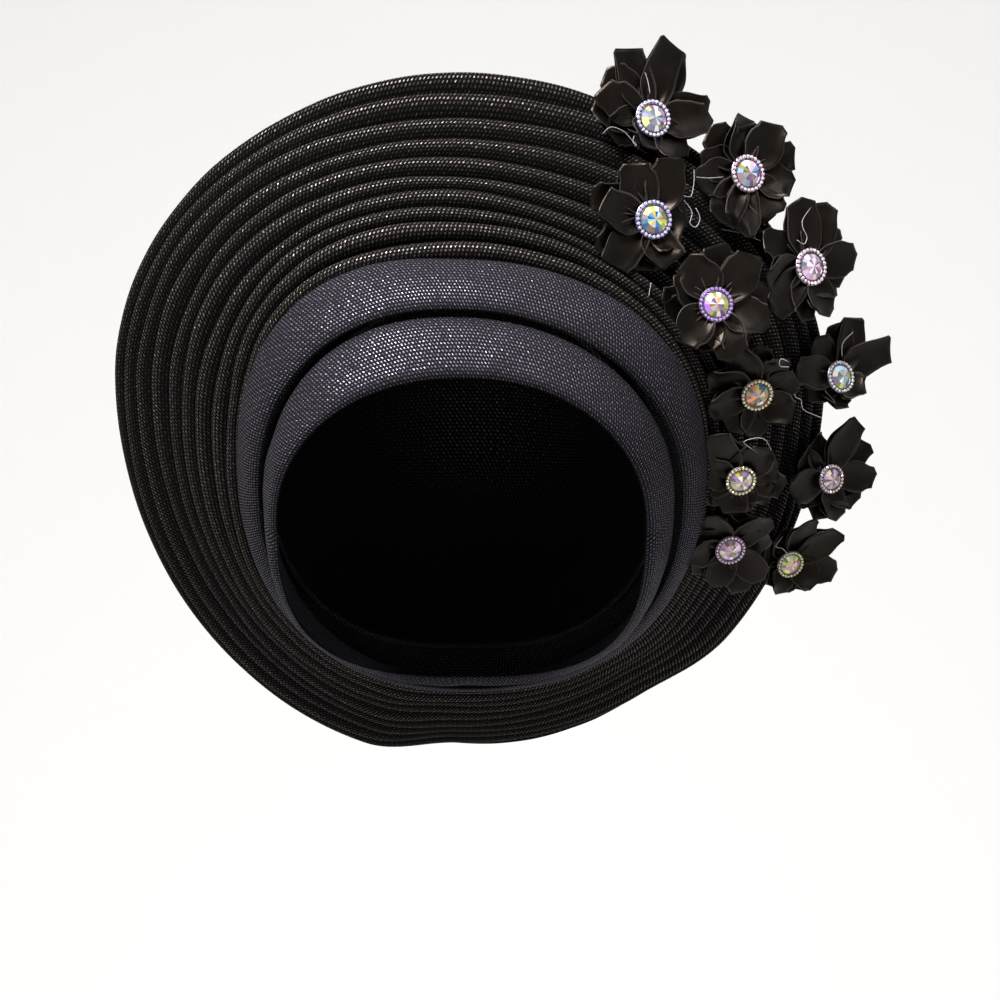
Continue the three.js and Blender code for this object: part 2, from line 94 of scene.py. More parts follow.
def grid_faces(rows, columns, rows_close=False, columns_close=False):
    """Each face joins (i, j), (i, j+1), (i+1, j+1) and (i+1, j). Gives them as numbers of the points,
    and as numbers in a map with one more row or column where the grid closes."""
    starts = np.arange(rows - 1 + rows_close), np.arange(columns - 1 + columns_close)
    i, j = np.meshgrid(*starts, indexing="ij")
    corners = [(i, j), (i, j + 1), (i + 1, j + 1), (i + 1, j)]
    points = np.stack([(a % rows) * columns + b % columns for a, b in corners], axis=-1)
    places = np.stack([a * (columns + columns_close) + b for a, b in corners], axis=-1)
    return points.reshape(-1, 4), places.reshape(-1, 4)


def make_piece(name, points, faces, materials, uv=None, kinds=None, smooth=True):
    """A mesh object from points in millimetres. uv holds a pair for each face corner, and kinds the
    number of each face's material."""
    mesh = bpy.data.meshes.new(name)
    mesh.from_pydata((np.reshape(points, (-1, 3)) * MM).tolist(), [], [list(face) for face in faces])
    if uv is not None:
        mesh.uv_layers.new(name="cloth").data.foreach_set("uv", np.asarray(uv, np.float32).ravel())
    for material in materials:
        mesh.materials.append(material)
    if kinds is not None:
        mesh.polygons.foreach_set("material_index", np.asarray(kinds, np.int32))
    mesh.polygons.foreach_set("use_smooth", np.full(len(mesh.polygons), smooth))
    mesh.update()
    piece = bpy.data.objects.new(name, mesh)
    bpy.context.scene.collection.objects.link(piece)
    return piece


def grid_piece(name, points, uv, materials, rows_close=False, columns_close=False):
    """A piece from one grid of points, with uv given for each point of the grid (and once more where
    it closes)."""
    rows, columns = points.shape[:2]
    faces, places = grid_faces(rows, columns, rows_close, columns_close)
    return make_piece(name, points, faces.tolist(), materials, uv=uv.reshape(-1, 2)[places])


print("a closed strip of 4 by 6 points has", len(grid_faces(4, 6, columns_close=True)[0]), "faces")


# %% Turned and closed bodies
def crossways(axis):
    """Two directions across an axis, the first one level."""
    level = unit(np.cross([0, 0, 1], axis))
    return level, unit(np.cross(axis, level))


def turned(profile, sides, centre, axis, phase=0.0):
    """Rings of points about an axis, from (radius, height) pairs: at each angle a point is the centre
    plus radius times (cos, sin) across the axis plus height along it."""
    level, upright = crossways(axis)
    turn = np.linspace(0, 2 * np.pi, sides, endpoint=False) + phase
    radius, height = np.asarray(profile, float).T[..., None, None]
    around = np.cos(turn)[:, None] * level + np.sin(turn)[:, None] * upright
    return centre + radius * around + height * axis


def closed_stack(rings):
    """Rings joined into a closed body, with a middle point at each end. The axis points to the last."""
    count, sides = rings.shape[:2]
    faces, _ = grid_faces(count, sides, columns_close=True)
    here = np.arange(sides)
    there = (here + 1) % sides
    last_ring = (count - 1) * sides
    first_middle, last_middle = count * sides, count * sides + 1
    first = np.stack([there, here, np.full(sides, first_middle)], axis=-1)
    last = np.stack([here + last_ring, there + last_ring, np.full(sides, last_middle)], axis=-1)
    points = np.concatenate([rings.reshape(-1, 3), rings[0].mean(0)[None], rings[-1].mean(0)[None]])
    return points, faces.tolist() + first.tolist() + last.tolist()


def join_bodies(bodies):
    """Several closed bodies as one list of points and one of faces: each body's faces count on from
    the points before it."""
    starts = np.cumsum([0] + [len(points) for points, _ in bodies])
    faces = []
    for start, (_, body) in zip(starts.tolist(), bodies):
        faces += [[corner + start for corner in face] for face in body]
    return np.concatenate([points for points, _ in bodies]), faces


prism = closed_stack(turned([(1, 0), (1, 2)], 6, np.zeros(3), np.array([0, -1, 0])))
print("a prism of six sides has", len(prism[0]), "points and", len(prism[1]), "faces")


# %% Facing and area
def face_out(piece):
    """Turns a closed piece's faces outwards if its volume comes out negative. The volume is the sum
    of a . (b x c) over its triangles."""
    corners = np.empty(len(piece.data.vertices) * 3)
    piece.data.vertices.foreach_get("co", corners)
    corners = corners.reshape(-1, 3)
    piece.data.calc_loop_triangles()
    sides = np.empty(len(piece.data.loop_triangles) * 3, np.int32)
    piece.data.loop_triangles.foreach_get("vertices", sides)
    a, b, c = corners[sides.reshape(-1, 3)].transpose(1, 0, 2)
    if np.einsum("ij,ij->", a, np.cross(b, c)) < 0:
        piece.data.flip_normals()
    return piece


def mesh_area(piece):
    """The surface of a piece's mesh in square metres."""
    areas = np.empty(len(piece.data.polygons))
    piece.data.polygons.foreach_get("area", areas)
    return float(areas.sum())


# %% [markdown]
# ## Materials
# Every colour is written as a web colour and turned to linear light by one function. One function adds
# a node with its settings and its links, and the small ones after it name the nodes that are used most.


# %% Colour and nodes
def linear(hex_colour):
    """A web colour such as #30a0ff as linear red, green, blue and full alpha."""
    levels = np.array([int(hex_colour[i:i + 2], 16) for i in (1, 3, 5)]) / 255
    bright = ((levels + 0.055) / 1.055) ** 2.4
    return (*np.where(levels <= 0.04045, levels / 12.92, bright), 1.0)


def add_node(tree, kind, inputs=None, **settings):
    """Adds a node. inputs maps a socket's name or number to a value, or to the socket that feeds it."""
    node = tree.nodes.new(kind)
    for key, value in settings.items():
        setattr(node, key, value)
    for key, value in (inputs or {}).items():
        if isinstance(value, bpy.types.NodeSocket):
            tree.links.new(value, node.inputs[key])
        else:
            node.inputs[key].default_value = value
    return node


def new_material(name):
    """An empty material and its node tree, with a Principled shader on the output."""
    material = bpy.data.materials.new(name)
    material.use_nodes = True
    tree = material.node_tree
    tree.nodes.clear()
    shader = add_node(tree, "ShaderNodeBsdfPrincipled")
    add_node(tree, "ShaderNodeOutputMaterial", {"Surface": shader.outputs[0]})
    return material, tree, shader


def maths(tree, operation, *values):
    """The result of a Math node."""
    return add_node(tree, "ShaderNodeMath", dict(enumerate(values)), operation=operation).outputs[0]


def vector_maths(tree, operation, *vectors):
    """The result of a Vector Math node."""
    return add_node(tree, "ShaderNodeVectorMath", dict(enumerate(vectors)), operation=operation).outputs[0]


def fade(tree, value, start, end, low=0.0, high=1.0):
    """A value moved smoothly from low to high as it passes from start to end."""
    inputs = {"Value": value, "From Min": start, "From Max": end, "To Min": low, "To Max": high}
    return add_node(tree, "ShaderNodeMapRange", inputs, interpolation_type="SMOOTHSTEP").outputs[0]


def mix_colours(tree, share, first, second):
    """A colour between two others."""
    inputs = {0: share, 6: first, 7: second}
    return add_node(tree, "ShaderNodeMix", inputs, data_type="RGBA").outputs[2]


def noise(tree, scale, detail):
    """Soft noise that stays with the piece, at its own place in space."""
    place = add_node(tree, "ShaderNodeTexCoord").outputs["Object"]
    inputs = {"Vector": place, "Scale": scale, "Detail": detail}
    return add_node(tree, "ShaderNodeTexNoise", inputs).outputs[0]


print("mid grey as linear light:", round(float(linear("#808080")[0]), 3))

# %% [markdown]
# ### Mesh brocade
# The cloth is a stiff black polyester net crossed by a flat metallic yarn, which comes up in short
# slanted floats. To the eye it is black with close grey-violet dashes where it is lit, and in drifting
# patches single floats flash as they face the lamp. A picture of the cloth could be laid on it, but a
# pattern worked out from the UV map stays sharp and follows each fold.
# The floats are cut from a grid whose rows are shifted by half a step. Each leans its own way, which turns
# the shader's normal. Every third one stands proud in the weave: the light it catches is painted on as a
# brighter colour, and the low ones are painted darker as painted shade. Where the cloth turns into a fold
# its colour is darkened as painted shade. The floats are as small as the render can show them.

# %% Brocade sizes
FLOAT_STEP = (1.6, 1.3)  # millimetres between floats along a row, and between rows
FLOAT_SIZE = (1.25, 0.66)  # length and width of a float in millimetres
FLOAT_EDGE = (1.05, 0.6)  # a float's side fades in between these shares of its half size
FLOAT_SLANT = -42.0  # degrees
FLOAT_RISE = 0.3  # millimetres that a float stands over the net
RISE_SHOWN = 0.6  # how strongly that shows
TURNS = 3  # one float in so many stands proud
PROUD_STEP = (0.5, 0.6)  # the step from turn 0, which is proud, to turn 1, which is not
REPEAT = TURNS * FLOAT_STEP[0]  # after this length the weave comes round again
BAND_FINENESS = 1.2  # how much closer the floats lie where the cloth is stretched into a band
PATCH_SIZE = 15.0  # millimetres: how wide a patch of loose floats is
PATCHES = (0.35, 0.65, 0.3, 1.0)  # from this noise to that one, floats lean by this share to that one
LEAN = 0.42  # how far a float can lean, as a share of its normal
FLOAT_LEVELS = (0.6, 1.0)  # by chance, a float is as bright as this to that
# painted light and shade: proud floats keep their full colour, and the low ones are darkened to this share
LOW_FLOAT_SHADE = 0.5  # the brightness of the floats that lie low
METALLIC = 0.8  # the share of the yarn's light that is mirrored
NET_ROUGHNESS, YARN_ROUGHNESS = 0.8, 0.4
NET_SHINE = 0.04
# painted shade: the cloth's colour is darkened by this share where it turns into a fold
PAINTED_FOLD_SHADE = 0.84  # how much darker the cloth is where it turns into a fold
BLACK = (0.0, 0.0, 0.0, 1.0)
print("floats on a square centimetre:", round(100 / (FLOAT_STEP[0] * FLOAT_STEP[1])))


# %% Brocade
def weave(tree, uv, fineness):
    """The floats: 1 on a float and 0 on the net, a place that names each float, and its turn in the
    weave, which is 0 on a proud one. The UV place is divided by the steps, and each row is shifted by
    half a step. The distance from a float's middle, turned by the slant, is compared with its size."""
    steps = (fineness / FLOAT_STEP[0], fineness / FLOAT_STEP[1], 1)
    cells = add_node(tree, "ShaderNodeMapping", {"Vector": uv, "Scale": steps}).outputs[0]
    parts = add_node(tree, "ShaderNodeSeparateXYZ", {0: cells})
    row = maths(tree, "FLOOR", parts.outputs[1])
    shifted = maths(tree, "MULTIPLY_ADD", row, 0.5, parts.outputs[0])
    places = add_node(tree, "ShaderNodeCombineXYZ", {0: shifted, 1: parts.outputs[1]}).outputs[0]
    inside = vector_maths(tree, "SUBTRACT", vector_maths(tree, "FRACTION", places), (0.5, 0.5, 0))
    lying = add_node(tree, "ShaderNodeMapping", {
        "Vector": inside, "Rotation": (0, 0, np.radians(-FLOAT_SLANT)), "Scale": (*FLOAT_STEP, 1),
    }).outputs[0]
    lying = vector_maths(tree, "MULTIPLY", lying, (2 / FLOAT_SIZE[0], 2 / FLOAT_SIZE[1], 0))
    reach = add_node(tree, "ShaderNodeVectorMath", {0: lying}, operation="LENGTH").outputs["Value"]
    turn = maths(tree, "WRAP", maths(tree, "ADD", maths(tree, "FLOOR", shifted), row), TURNS, 0.0)
    return fade(tree, reach, *FLOAT_EDGE), vector_maths(tree, "FLOOR", places), turn


def brocade(name, net, yarn, fold=None, fineness=1.0):
    """Black net crossed by floats of yarn. Painted shade darkens the cloth between the two places of fold,
    which are in millimetres across it from the middle of its face."""
    material, tree, shader = new_material(name)
    uv = add_node(tree, "ShaderNodeUVMap", uv_map="cloth").outputs[0]
    floats, which, turn = weave(tree, uv, fineness)
    chance = add_node(tree, "ShaderNodeTexWhiteNoise", {"Vector": which}, noise_dimensions="2D")
    # painted light and shade: proud floats are painted bright, low ones darker
    proud = fade(tree, turn, *PROUD_STEP, 1.0, LOW_FLOAT_SHADE)
    bright = fade(tree, chance.outputs["Value"], 0.0, 1.0, *FLOAT_LEVELS)
    shown = maths(tree, "MULTIPLY", floats, maths(tree, "MULTIPLY", bright, proud))
    colour = mix_colours(tree, shown, linear(net), linear(yarn))
    if fold:
        across = add_node(tree, "ShaderNodeSeparateXYZ", {0: uv}).outputs[1]
        # painted shade: the colour goes towards black between the two places of fold
        colour = mix_colours(tree, fade(tree, across, *fold, 0.0, PAINTED_FOLD_SHADE), colour, BLACK)
    tree.links.new(colour, shader.inputs["Base Color"])
    tree.links.new(maths(tree, "MULTIPLY", floats, METALLIC), shader.inputs["Metallic"])
    roughness = fade(tree, floats, 0.0, 1.0, NET_ROUGHNESS, YARN_ROUGHNESS)
    tree.links.new(roughness, shader.inputs["Roughness"])
    patches = fade(tree, noise(tree, 1 / (PATCH_SIZE * MM), 2.0), *PATCHES)
    aside = add_node(tree, "ShaderNodeVectorMath", {
        0: vector_maths(tree, "SUBTRACT", chance.outputs["Color"], (0.5, 0.5, 0.5)),
        "Scale": maths(tree, "MULTIPLY", maths(tree, "MULTIPLY", floats, patches), LEAN),
    }, operation="SCALE").outputs[0]
    raised = add_node(tree, "ShaderNodeBump", {
        "Strength": RISE_SHOWN, "Distance": FLOAT_RISE * MM, "Height": floats,
    }).outputs[0]
    leaning = vector_maths(tree, "NORMALIZE", vector_maths(tree, "ADD", raised, aside))
    tree.links.new(leaning, shader.inputs["Normal"])
    shader.inputs["Specular IOR Level"].default_value = NET_SHINE
    return material


# One cloth in four states: on the bands it is stretched smooth and its yarn shows grey-violet, with
# painted shade towards the edge of each band nearer the opening; on the pleats it is browner, with painted
# shade in the folds; and on the cap its colours are darkened as painted shade for the fan's shadow.
BAND_NET, BAND_YARN = "#121013", "#726d7c"
BROW_CLOTH = brocade("mesh brocade, brow band", BAND_NET, BAND_YARN, (-8.0, -12.0), BAND_FINENESS)
CROWN_CLOTH = brocade("mesh brocade, crown band", BAND_NET, BAND_YARN, (-7.5, -12.0), BAND_FINENESS)
PLEAT_CLOTH = brocade("mesh brocade, pleats", "#0a0705", "#78706f", (1.0, 6.0))
# painted shade: the cap's cloth is a darker copy of the same brocade, for the fan's shadow over it
CAP_CLOTH = brocade("mesh brocade, cap", "#050404", "#3a3536")
print("cloths:", [cloth.name for cloth in (BROW_CLOTH, CROWN_CLOTH, PLEAT_CLOTH, CAP_CLOTH)])

# %% [markdown]
# ### Satin ribbon, button metal, crystal and thread
# Satin ribbon is polyester woven so that long threads lie on the face: black, smooth, with a soft grey
# light along its folds, a fine rib across, and a stitched bound edge, painted paler as a painted highlight
# for the thin line of light it catches.
# Stretched highlights could show its long threads, but on such small curled petals a plain soft shine over
# fine ribs looks the same. The buttons are cut glass with a foil back and a rainbow coating, set in a
# bright plated cup. Clear glass would have to bend much light before it glowed. So the facets carry the
# coating's tints with the glass's glow painted into them, some brighter and some darker as painted light
# and shade, and a clear coat adds the glints.

# %% Satin ribbon
RIB_STEP = 0.5  # millimetres between the ribs: finer on real ribbon, but too fine to show
STITCH_STEP = 1.1  # millimetres between the stitches of the bound edge
STITCH = (-0.2, 0.8)  # the part of a stitch's wave over which the thread rises
EDGE_WIDTH = 0.035  # the bound edge as a share of half the ribbon's width
# painted highlight: the bound edge is painted in the paler edge colour, brighter on its stitches
EDGE_LEVELS = (0.55, 1.0)  # how bright the edge is between stitches and on them
SATIN_COLOURS = {"deep": "#040302", "handled": "#090706", "edge": "#332e2c"}
SHINE_TINT, SHEEN_TINT = "#e6d2c2", "#a8a3b8"
HANDLED_SCALE = 130.0  # handled patches are about 8 mm wide
HANDLED = {"colour": (0.35, 0.7), "gloss": (0.3, 0.75)}  # the noise outside and inside such a patch
SATIN_ROUGHNESS = (0.3, 0.42)  # outside and inside it
SATIN_RISE = 0.2  # millimetres: the edge's rise
SATIN_RISE_SHOWN = 0.3
RIB_RISE = 0.12  # the ribs' rise against the edge's


def satin():
    """Black ribbon. The UV map holds millimetres along it, and -1 to 1 across it. Ribs and stitches are
    sines of the place along it, and the stitches show only near -1 and 1, where the edge is painted paler
    as a painted highlight."""
    material, tree, shader = new_material("black polyester satin ribbon")
    uv = add_node(tree, "ShaderNodeUVMap", uv_map="cloth").outputs[0]
    along, across, _ = add_node(tree, "ShaderNodeSeparateXYZ", {0: uv}).outputs
    ribs = maths(tree, "SINE", maths(tree, "MULTIPLY", along, 2 * np.pi / RIB_STEP))
    stitches = maths(tree, "SINE", maths(tree, "MULTIPLY", along, 2 * np.pi / STITCH_STEP))
    edge = fade(tree, maths(tree, "ABSOLUTE", across), 1 - 2 * EDGE_WIDTH, 1 - EDGE_WIDTH)
    stitched = fade(tree, fade(tree, stitches, *STITCH), 0.0, 1.0, *EDGE_LEVELS)
    bound = maths(tree, "MULTIPLY", edge, stitched)
    handled = noise(tree, HANDLED_SCALE, 3.0)
    deep, pale, edge_highlight_colour = (linear(colour) for colour in SATIN_COLOURS.values())
    ground = mix_colours(tree, fade(tree, handled, *HANDLED["colour"]), deep, pale)
    # painted highlight along the bound edge
    tree.links.new(mix_colours(tree, bound, ground, edge_highlight_colour), shader.inputs["Base Color"])
    roughness = fade(tree, handled, *HANDLED["gloss"], *SATIN_ROUGHNESS)
    tree.links.new(roughness, shader.inputs["Roughness"])
    height = maths(tree, "ADD", maths(tree, "MULTIPLY", ribs, RIB_RISE), bound)
    bump = add_node(tree, "ShaderNodeBump", {
        "Strength": SATIN_RISE_SHOWN, "Distance": SATIN_RISE * MM, "Height": height,
    })
    tree.links.new(bump.outputs[0], shader.inputs["Normal"])
    shader.inputs["Specular IOR Level"].default_value = 0.22
    shader.inputs["Specular Tint"].default_value = linear(SHINE_TINT)
    shader.inputs["Sheen Weight"].default_value = 0.03
    shader.inputs["Sheen Roughness"].default_value = 0.35
    shader.inputs["Sheen Tint"].default_value = linear(SHEEN_TINT)
    return material


# the thin edges' light is a painted highlight; the folds' soft light comes from the shader
SATIN = satin()  # near-black petals whose thin edges and folds catch a soft light
print("made", SATIN.name)

# %% Plated metal, crystal, thread and felt
MOTTLE_SCALE = 900.0  # patches of tarnish or wear about a millimetre wide
MOTTLE = (0.3, 0.7)  # the noise outside and inside such a patch
DULLER = 1.4  # how much rougher a patch is


def plain(name, colour, roughness, metallic=0.0, mottle=0.0):
    """One colour with a little unevenness in its gloss, and a darker shade of it in patches."""
    material, tree, shader = new_material(name)
    cloud = noise(tree, MOTTLE_SCALE, 2.0)
    darker = (*np.array(linear(colour)[:3]) * (1 - mottle), 1.0)
    mixed = mix_colours(tree, fade(tree, cloud, *MOTTLE), linear(colour), darker)
    tree.links.new(mixed, shader.inputs["Base Color"])
    uneven = fade(tree, cloud, *MOTTLE, roughness, roughness * DULLER)
    tree.links.new(uneven, shader.inputs["Roughness"])
    shader.inputs["Metallic"].default_value = metallic
    return material


def crystal():
    """Foiled glass. Each facet has its own colour, kept in the piece's face colours: the coating's tint
    with the glass's glow painted in, brighter or darker as painted light and shade. The foil mirrors a
    part of the light, and a clear coat gives each facet a sharp glint."""
    material, tree, shader = new_material("foiled crystal with a rainbow coating")
    tint = add_node(tree, "ShaderNodeVertexColor", layer_name="facet").outputs["Color"]
    tree.links.new(tint, shader.inputs["Base Color"])
    shader.inputs["Metallic"].default_value = 0.4
    shader.inputs["Roughness"].default_value = 0.15
    shader.inputs["Coat Weight"].default_value = 1.0
    return material


METAL = plain("rhodium plated metal", "#8d8798", 0.3, metallic=0.9, mottle=0.5)  # a thin bright cup
CRYSTAL = crystal()
THREAD = plain("nylon thread", "#8f8c90", 0.4, mottle=0.2)  # pale hairs across the black petals
FELT = plain("black felt backing", "#141110", 0.95, mottle=0.4)  # a dull shadow under the petals
print(len(bpy.data.materials), "materials")

# %% [markdown]
# ## The paths of the bands and pleats
# Every band and pleat follows a loop round the opening. A loop is written as how far it reaches to the
# left, right, top and foot, and how square it is, and its depth grows from the top to the nape. Each
# could be drawn as a curve by hand, but with a formula a row can be found between two others. The
# numbers are the frame's own, so the pieces lie where the plain solids lie.

# %% Loops
# Millimetres. The waist parts the upper half from the lower one, each has its power (2 is an ellipse),
# and the top leans to the right by the last column.
Loop = namedtuple("Loop", "left right top waist foot upper lower lean")
PLEATS = [
    Loop(137.0, 139.6, 159.9, 44, -108.0, 1.94, 2.03, -2.0),
    Loop(133.0, 135.6, 150.2, 40, -104.5, 2.06, 2.07, -1.5),
    Loop(125.6, 129.0, 139.8, 39, -101.5, 2.10, 2.00, -4.0),
    Loop(119.4, 122.9, 132.9, 36, -97.5, 2.05, 2.05, -7.0),
    Loop(111.8, 116.3, 125.0, 33, -93.5, 2.00, 2.10, -10.0),
    Loop(107.4, 110.3, 119.2, 29, -90.0, 1.96, 2.15, -11.0),
    Loop(100.0, 104.6, 111.8, 25, -86.5, 1.94, 2.20, -10.5),
    Loop(94.4, 99.8, 106.1, 19, -83.0, 2.02, 2.25, -9.5),
    Loop(88.8, 94.8, 99.0, 15, -79.0, 2.20, 2.30, -8.0),
    Loop(84.0, 90.0, 91.1, 9, -75.4, 2.30, 2.30, -6.5),
]
BROW_EDGE = Loop(69, 67.5, 43.5, -12, -72, 2.1, 3.0, 0)
BROW_GROOVE = Loop(72.5, 78, 66.5, -2, -73, 2.15, 2.2, -5)
Depths = namedtuple("Depths", "top side nape")  # +Y at three places round a loop
BROW_EDGE_DEPTHS = Depths(-94, -58, 46)
BROW_GROOVE_DEPTHS = Depths(-82, -42, 52)
INNER_ROLL = Depths(-66, -22, 60)
OUTER_ROLL = Depths(-12, 20, 88)
INNER_BASE = Depths(-42, -14, 60)
OUTER_BASE = Depths(36, 46, 81)
GATHER = {"start": 130, "full": 150, "let_go": 182, "end": 198, "lift": 7}  # degrees, millimetres
CAP = {"side": 78, "up": 78, "down": 85, "back": 95, "y": 2, "z": 10, "wall": 2, "rim_ahead": 6}
BASE_CLEAR = 0.5  # the plies meet the cap this far off its surface
ROUND = 360  # places round a loop
ANGLES = np.linspace(0, 2 * np.pi, ROUND, endpoint=False)
LAST = len(PLEATS) - 1
print("pleats:", len(PLEATS), "and a place every", 360 // ROUND, "degree")


# %% Points on a loop
def smoothstep(value, start, end):
    """0 up to start, 1 from end, and s^2 (3 - 2 s) at a share s of the way between."""
    share = np.clip((value - start) / (end - start), 0, 1)
    return share * share * (3 - 2 * share)


def depth_at(depths, angle):
    """Depth grows with a power of (1 - cos angle) / 2, chosen so that the side value is met at 90
    degrees."""
    whole = depths.nape - depths.top
    power = np.log(whole / (depths.side - depths.top)) / np.log(2)
    return depths.top + whole * ((1 - np.cos(angle)) / 2) ** power


def loop_points(loop, depths, angle):
    """A superellipse round the opening: each half has its own width, height and squareness."""
    across, up = np.sin(angle), np.cos(angle)
    power = 2 / np.where(up > 0, loop.upper, loop.lower)
    width = np.where(across < 0, loop.left, loop.right)
    height = np.where(up > 0, loop.top - loop.waist, loop.waist - loop.foot)
    x = np.sign(across) * width * np.abs(across) ** power + loop.lean * np.maximum(up, 0) ** 2
    z = loop.waist + np.sign(up) * height * np.abs(up) ** power
    return np.stack([x, depth_at(depths, angle), z], axis=-1)


def row_depths(row, outer, inner):
    """The depths of a row, an even share of the way from the outermost pleat's to the innermost's."""
    return Depths(*(np.array(outer) + (np.array(inner) - np.array(outer)) * row / LAST))


def roll_points(row, angle):
    """The middle of a pleat's rolled edge, for rows between 0 (outermost) and 9, and evenly past them."""
    low = int(min(max(np.floor(row), 0), LAST - 1))
    first, second = (
        loop_points(PLEATS[k], row_depths(k, OUTER_ROLL, INNER_ROLL), angle) for k in (low, low + 1)
    )
    points = first + (second - first) * (row - low)
    turn = np.degrees(angle) % 360
    let_go = smoothstep(turn, GATHER["let_go"], GATHER["end"])
    drawn = smoothstep(turn, GATHER["start"], GATHER["full"]) - let_go
    points[..., 2] += GATHER["lift"] * drawn * (1 - row / LAST)
    return points


def cap_points(depth, angle, inset):
    """The cap is half an egg: at each depth it is an ellipse that closes towards the back."""
    share = np.clip((depth - CAP["y"]) / CAP["back"], -1, 1)
    ring = np.sqrt(1 - share * share)
    height = np.where(np.cos(angle) > 0, CAP["up"], CAP["down"]) - inset
    x = (CAP["side"] - inset) * ring * np.sin(angle)
    y = CAP["y"] + (CAP["back"] - inset) * share
    return np.stack([x, y, CAP["z"] + height * ring * np.cos(angle)], axis=-1)


def base_points(row, angle):
    """Where a pleat's plies meet the cap."""
    depth = depth_at(row_depths(row, OUTER_BASE, INNER_BASE), angle)
    return cap_points(depth, angle, -BASE_CLEAR)


print("outermost roll:", roll_points(0, ANGLES).min(0).round(1), roll_points(0, ANGLES).max(0).round(1))


# %% Lengths and wander
def lengths_along(points):
    """Distance along each row of points from its first one, in millimetres."""
    steps = np.linalg.norm(np.diff(points, axis=-2), axis=-1)
    return np.concatenate([np.zeros_like(steps[..., :1]), np.cumsum(steps, axis=-1)], axis=-1)


def round_loop(points, repeat=REPEAT):
    """Distance round a loop, stretched a little so that the weave meets itself where the loop closes."""
    length = lengths_along(np.concatenate([points, points[:1]])[None])[0]
    return length * np.round(length[-1] / repeat) * repeat / length[-1]


def drift(angle, seed, size, waves=(2, 3, 5, 8, 13)):
    """A slow wander round a loop: a few sine waves with seeded phases, the short ones weaker."""
    phases = np.random.default_rng(seed).uniform(0, 2 * np.pi, len(waves))
    strengths = 1 / np.sqrt(np.array(waves, float))
    total = sum(s * np.sin(w * angle + p) for w, p, s in zip(waves, phases, strengths))
    return size * total / np.linalg.norm(strengths)


print("round the outermost roll:", round(float(round_loop(roll_points(0, ANGLES))[-1])), "mm")

# %% [markdown]
# ## The ten pleats
# Each pleat is a strip of the brocade folded along its length, so that a soft round roll faces front
# and two plies run back to the cap. It could be bent from a tube, or dropped as simulated cloth, but
# pressed rolls lie as evenly as a formula. The line between two neighbouring rows is worked out once,
# with a slow seeded wander, and each pleat fills the space between its two lines: neighbours then
# never cut into each other, whatever the wander does.

# %% Pleat sizes
GAP = 0.4  # clear space between neighbouring pleats, as in the frame
PLEAT_WALL = 1.3
ROLL_STEPS = 21  # points round the roll
PLY_STEPS = 5  # points along each ply
NARROWEST = 0.3  # the least half width that is left inside a roll
NOSE = 1.5  # how far a roll reaches forward, against half its width
NOSE_UNEVEN = 0.05  # how much that changes along the roll
NOSE_WAVES = (7, 11, 17, 29)
WANDER = 0.55  # how far the line between two pleats strays from its even path
WANDER_SEED, NOSE_SEED = 40, 70
print("points across a pleat:", 2 * (ROLL_STEPS + 2 * PLY_STEPS))


# %% Pleats
def border(row):
    """The line between a row and the next, at the roll and at the cap. The roll's end strays a little."""
    near, far = roll_points(row, ANGLES), roll_points(row + 1, ANGLES)
    stray = drift(ANGLES, WANDER_SEED + int(row), WANDER) * (0 <= row < LAST)
    edge = (near + far) / 2 + unit(far - near) * stray[:, None]
    return edge, (base_points(row, ANGLES) + base_points(row + 1, ANGLES)) / 2


def pleat_skin(outer, inner, inset, fullness):
    """One face of the folded strip, from the cap along the outer ply, round the roll and back. Across
    the roll a point moves by half its width times cos(turn), and forward by its reach times sin(turn)."""
    middle_edge, middle_base = (outer[0] + inner[0]) / 2, (outer[1] + inner[1]) / 2
    forward = unit(middle_edge - middle_base)
    half_edge, half_base = outer[0] - middle_edge, outer[1] - middle_base
    width_edge = np.linalg.norm(half_edge, axis=-1, keepdims=True)
    width_base = np.linalg.norm(half_base, axis=-1, keepdims=True)
    keep_edge = np.maximum(width_edge - inset, NARROWEST) / width_edge
    keep_base = np.maximum(width_base - inset, NARROWEST) / width_base
    reach = width_edge * keep_edge * fullness[:, None]
    middle_edge = middle_edge - forward * reach * (1 - 1 / NOSE)
    turn = np.linspace(0, np.pi, ROLL_STEPS)[:, None, None]
    roll = middle_edge + half_edge * keep_edge * np.cos(turn) + forward * reach * np.sin(turn)
    share = np.linspace(0, 1, PLY_STEPS + 1)[:-1, None, None]
    plies = []
    for side in (1, -1):
        start = middle_base + side * half_base * keep_base
        end = middle_edge + side * half_edge * keep_edge
        plies.append(start + (end - start) * share)
    return np.concatenate([plies[0], roll, plies[1][::-1]])


def make_pleat(row):
    """A pleat between its two lines: the outer face of the strip, then the inner one back to the start,
    as one closed section at each place round the loop. Gives the strip's width and length too."""
    outer, inner = border(row - 1), border(row)
    fullness = NOSE + drift(ANGLES, NOSE_SEED + row, NOSE_UNEVEN, NOSE_WAVES)
    outside = pleat_skin(outer, inner, GAP / 2, fullness)
    inside = pleat_skin(outer, inner, GAP / 2 + PLEAT_WALL, fullness)[::-1]
    section = np.concatenate([outside, inside])
    ring_length = round_loop(section[len(outside) // 2])
    fold_length = lengths_along(outside.transpose(1, 0, 2)).mean(0)
    across = np.concatenate([fold_length, fold_length[::-1], fold_length[:1]]) - fold_length[-1] / 2
    uv = np.stack(np.meshgrid(ring_length, across), axis=-1)
    piece = face_out(grid_piece(f"pleat_cloth_{row + 1:02d}", section, uv, [PLEAT_CLOTH], True, True))
    return piece, fold_length[-1], ring_length[-1]


pleats = [make_pleat(row) for row in range(len(PLEATS))]
print("pleats, width and length:", [(round(width), round(length)) for _, width, length in pleats])

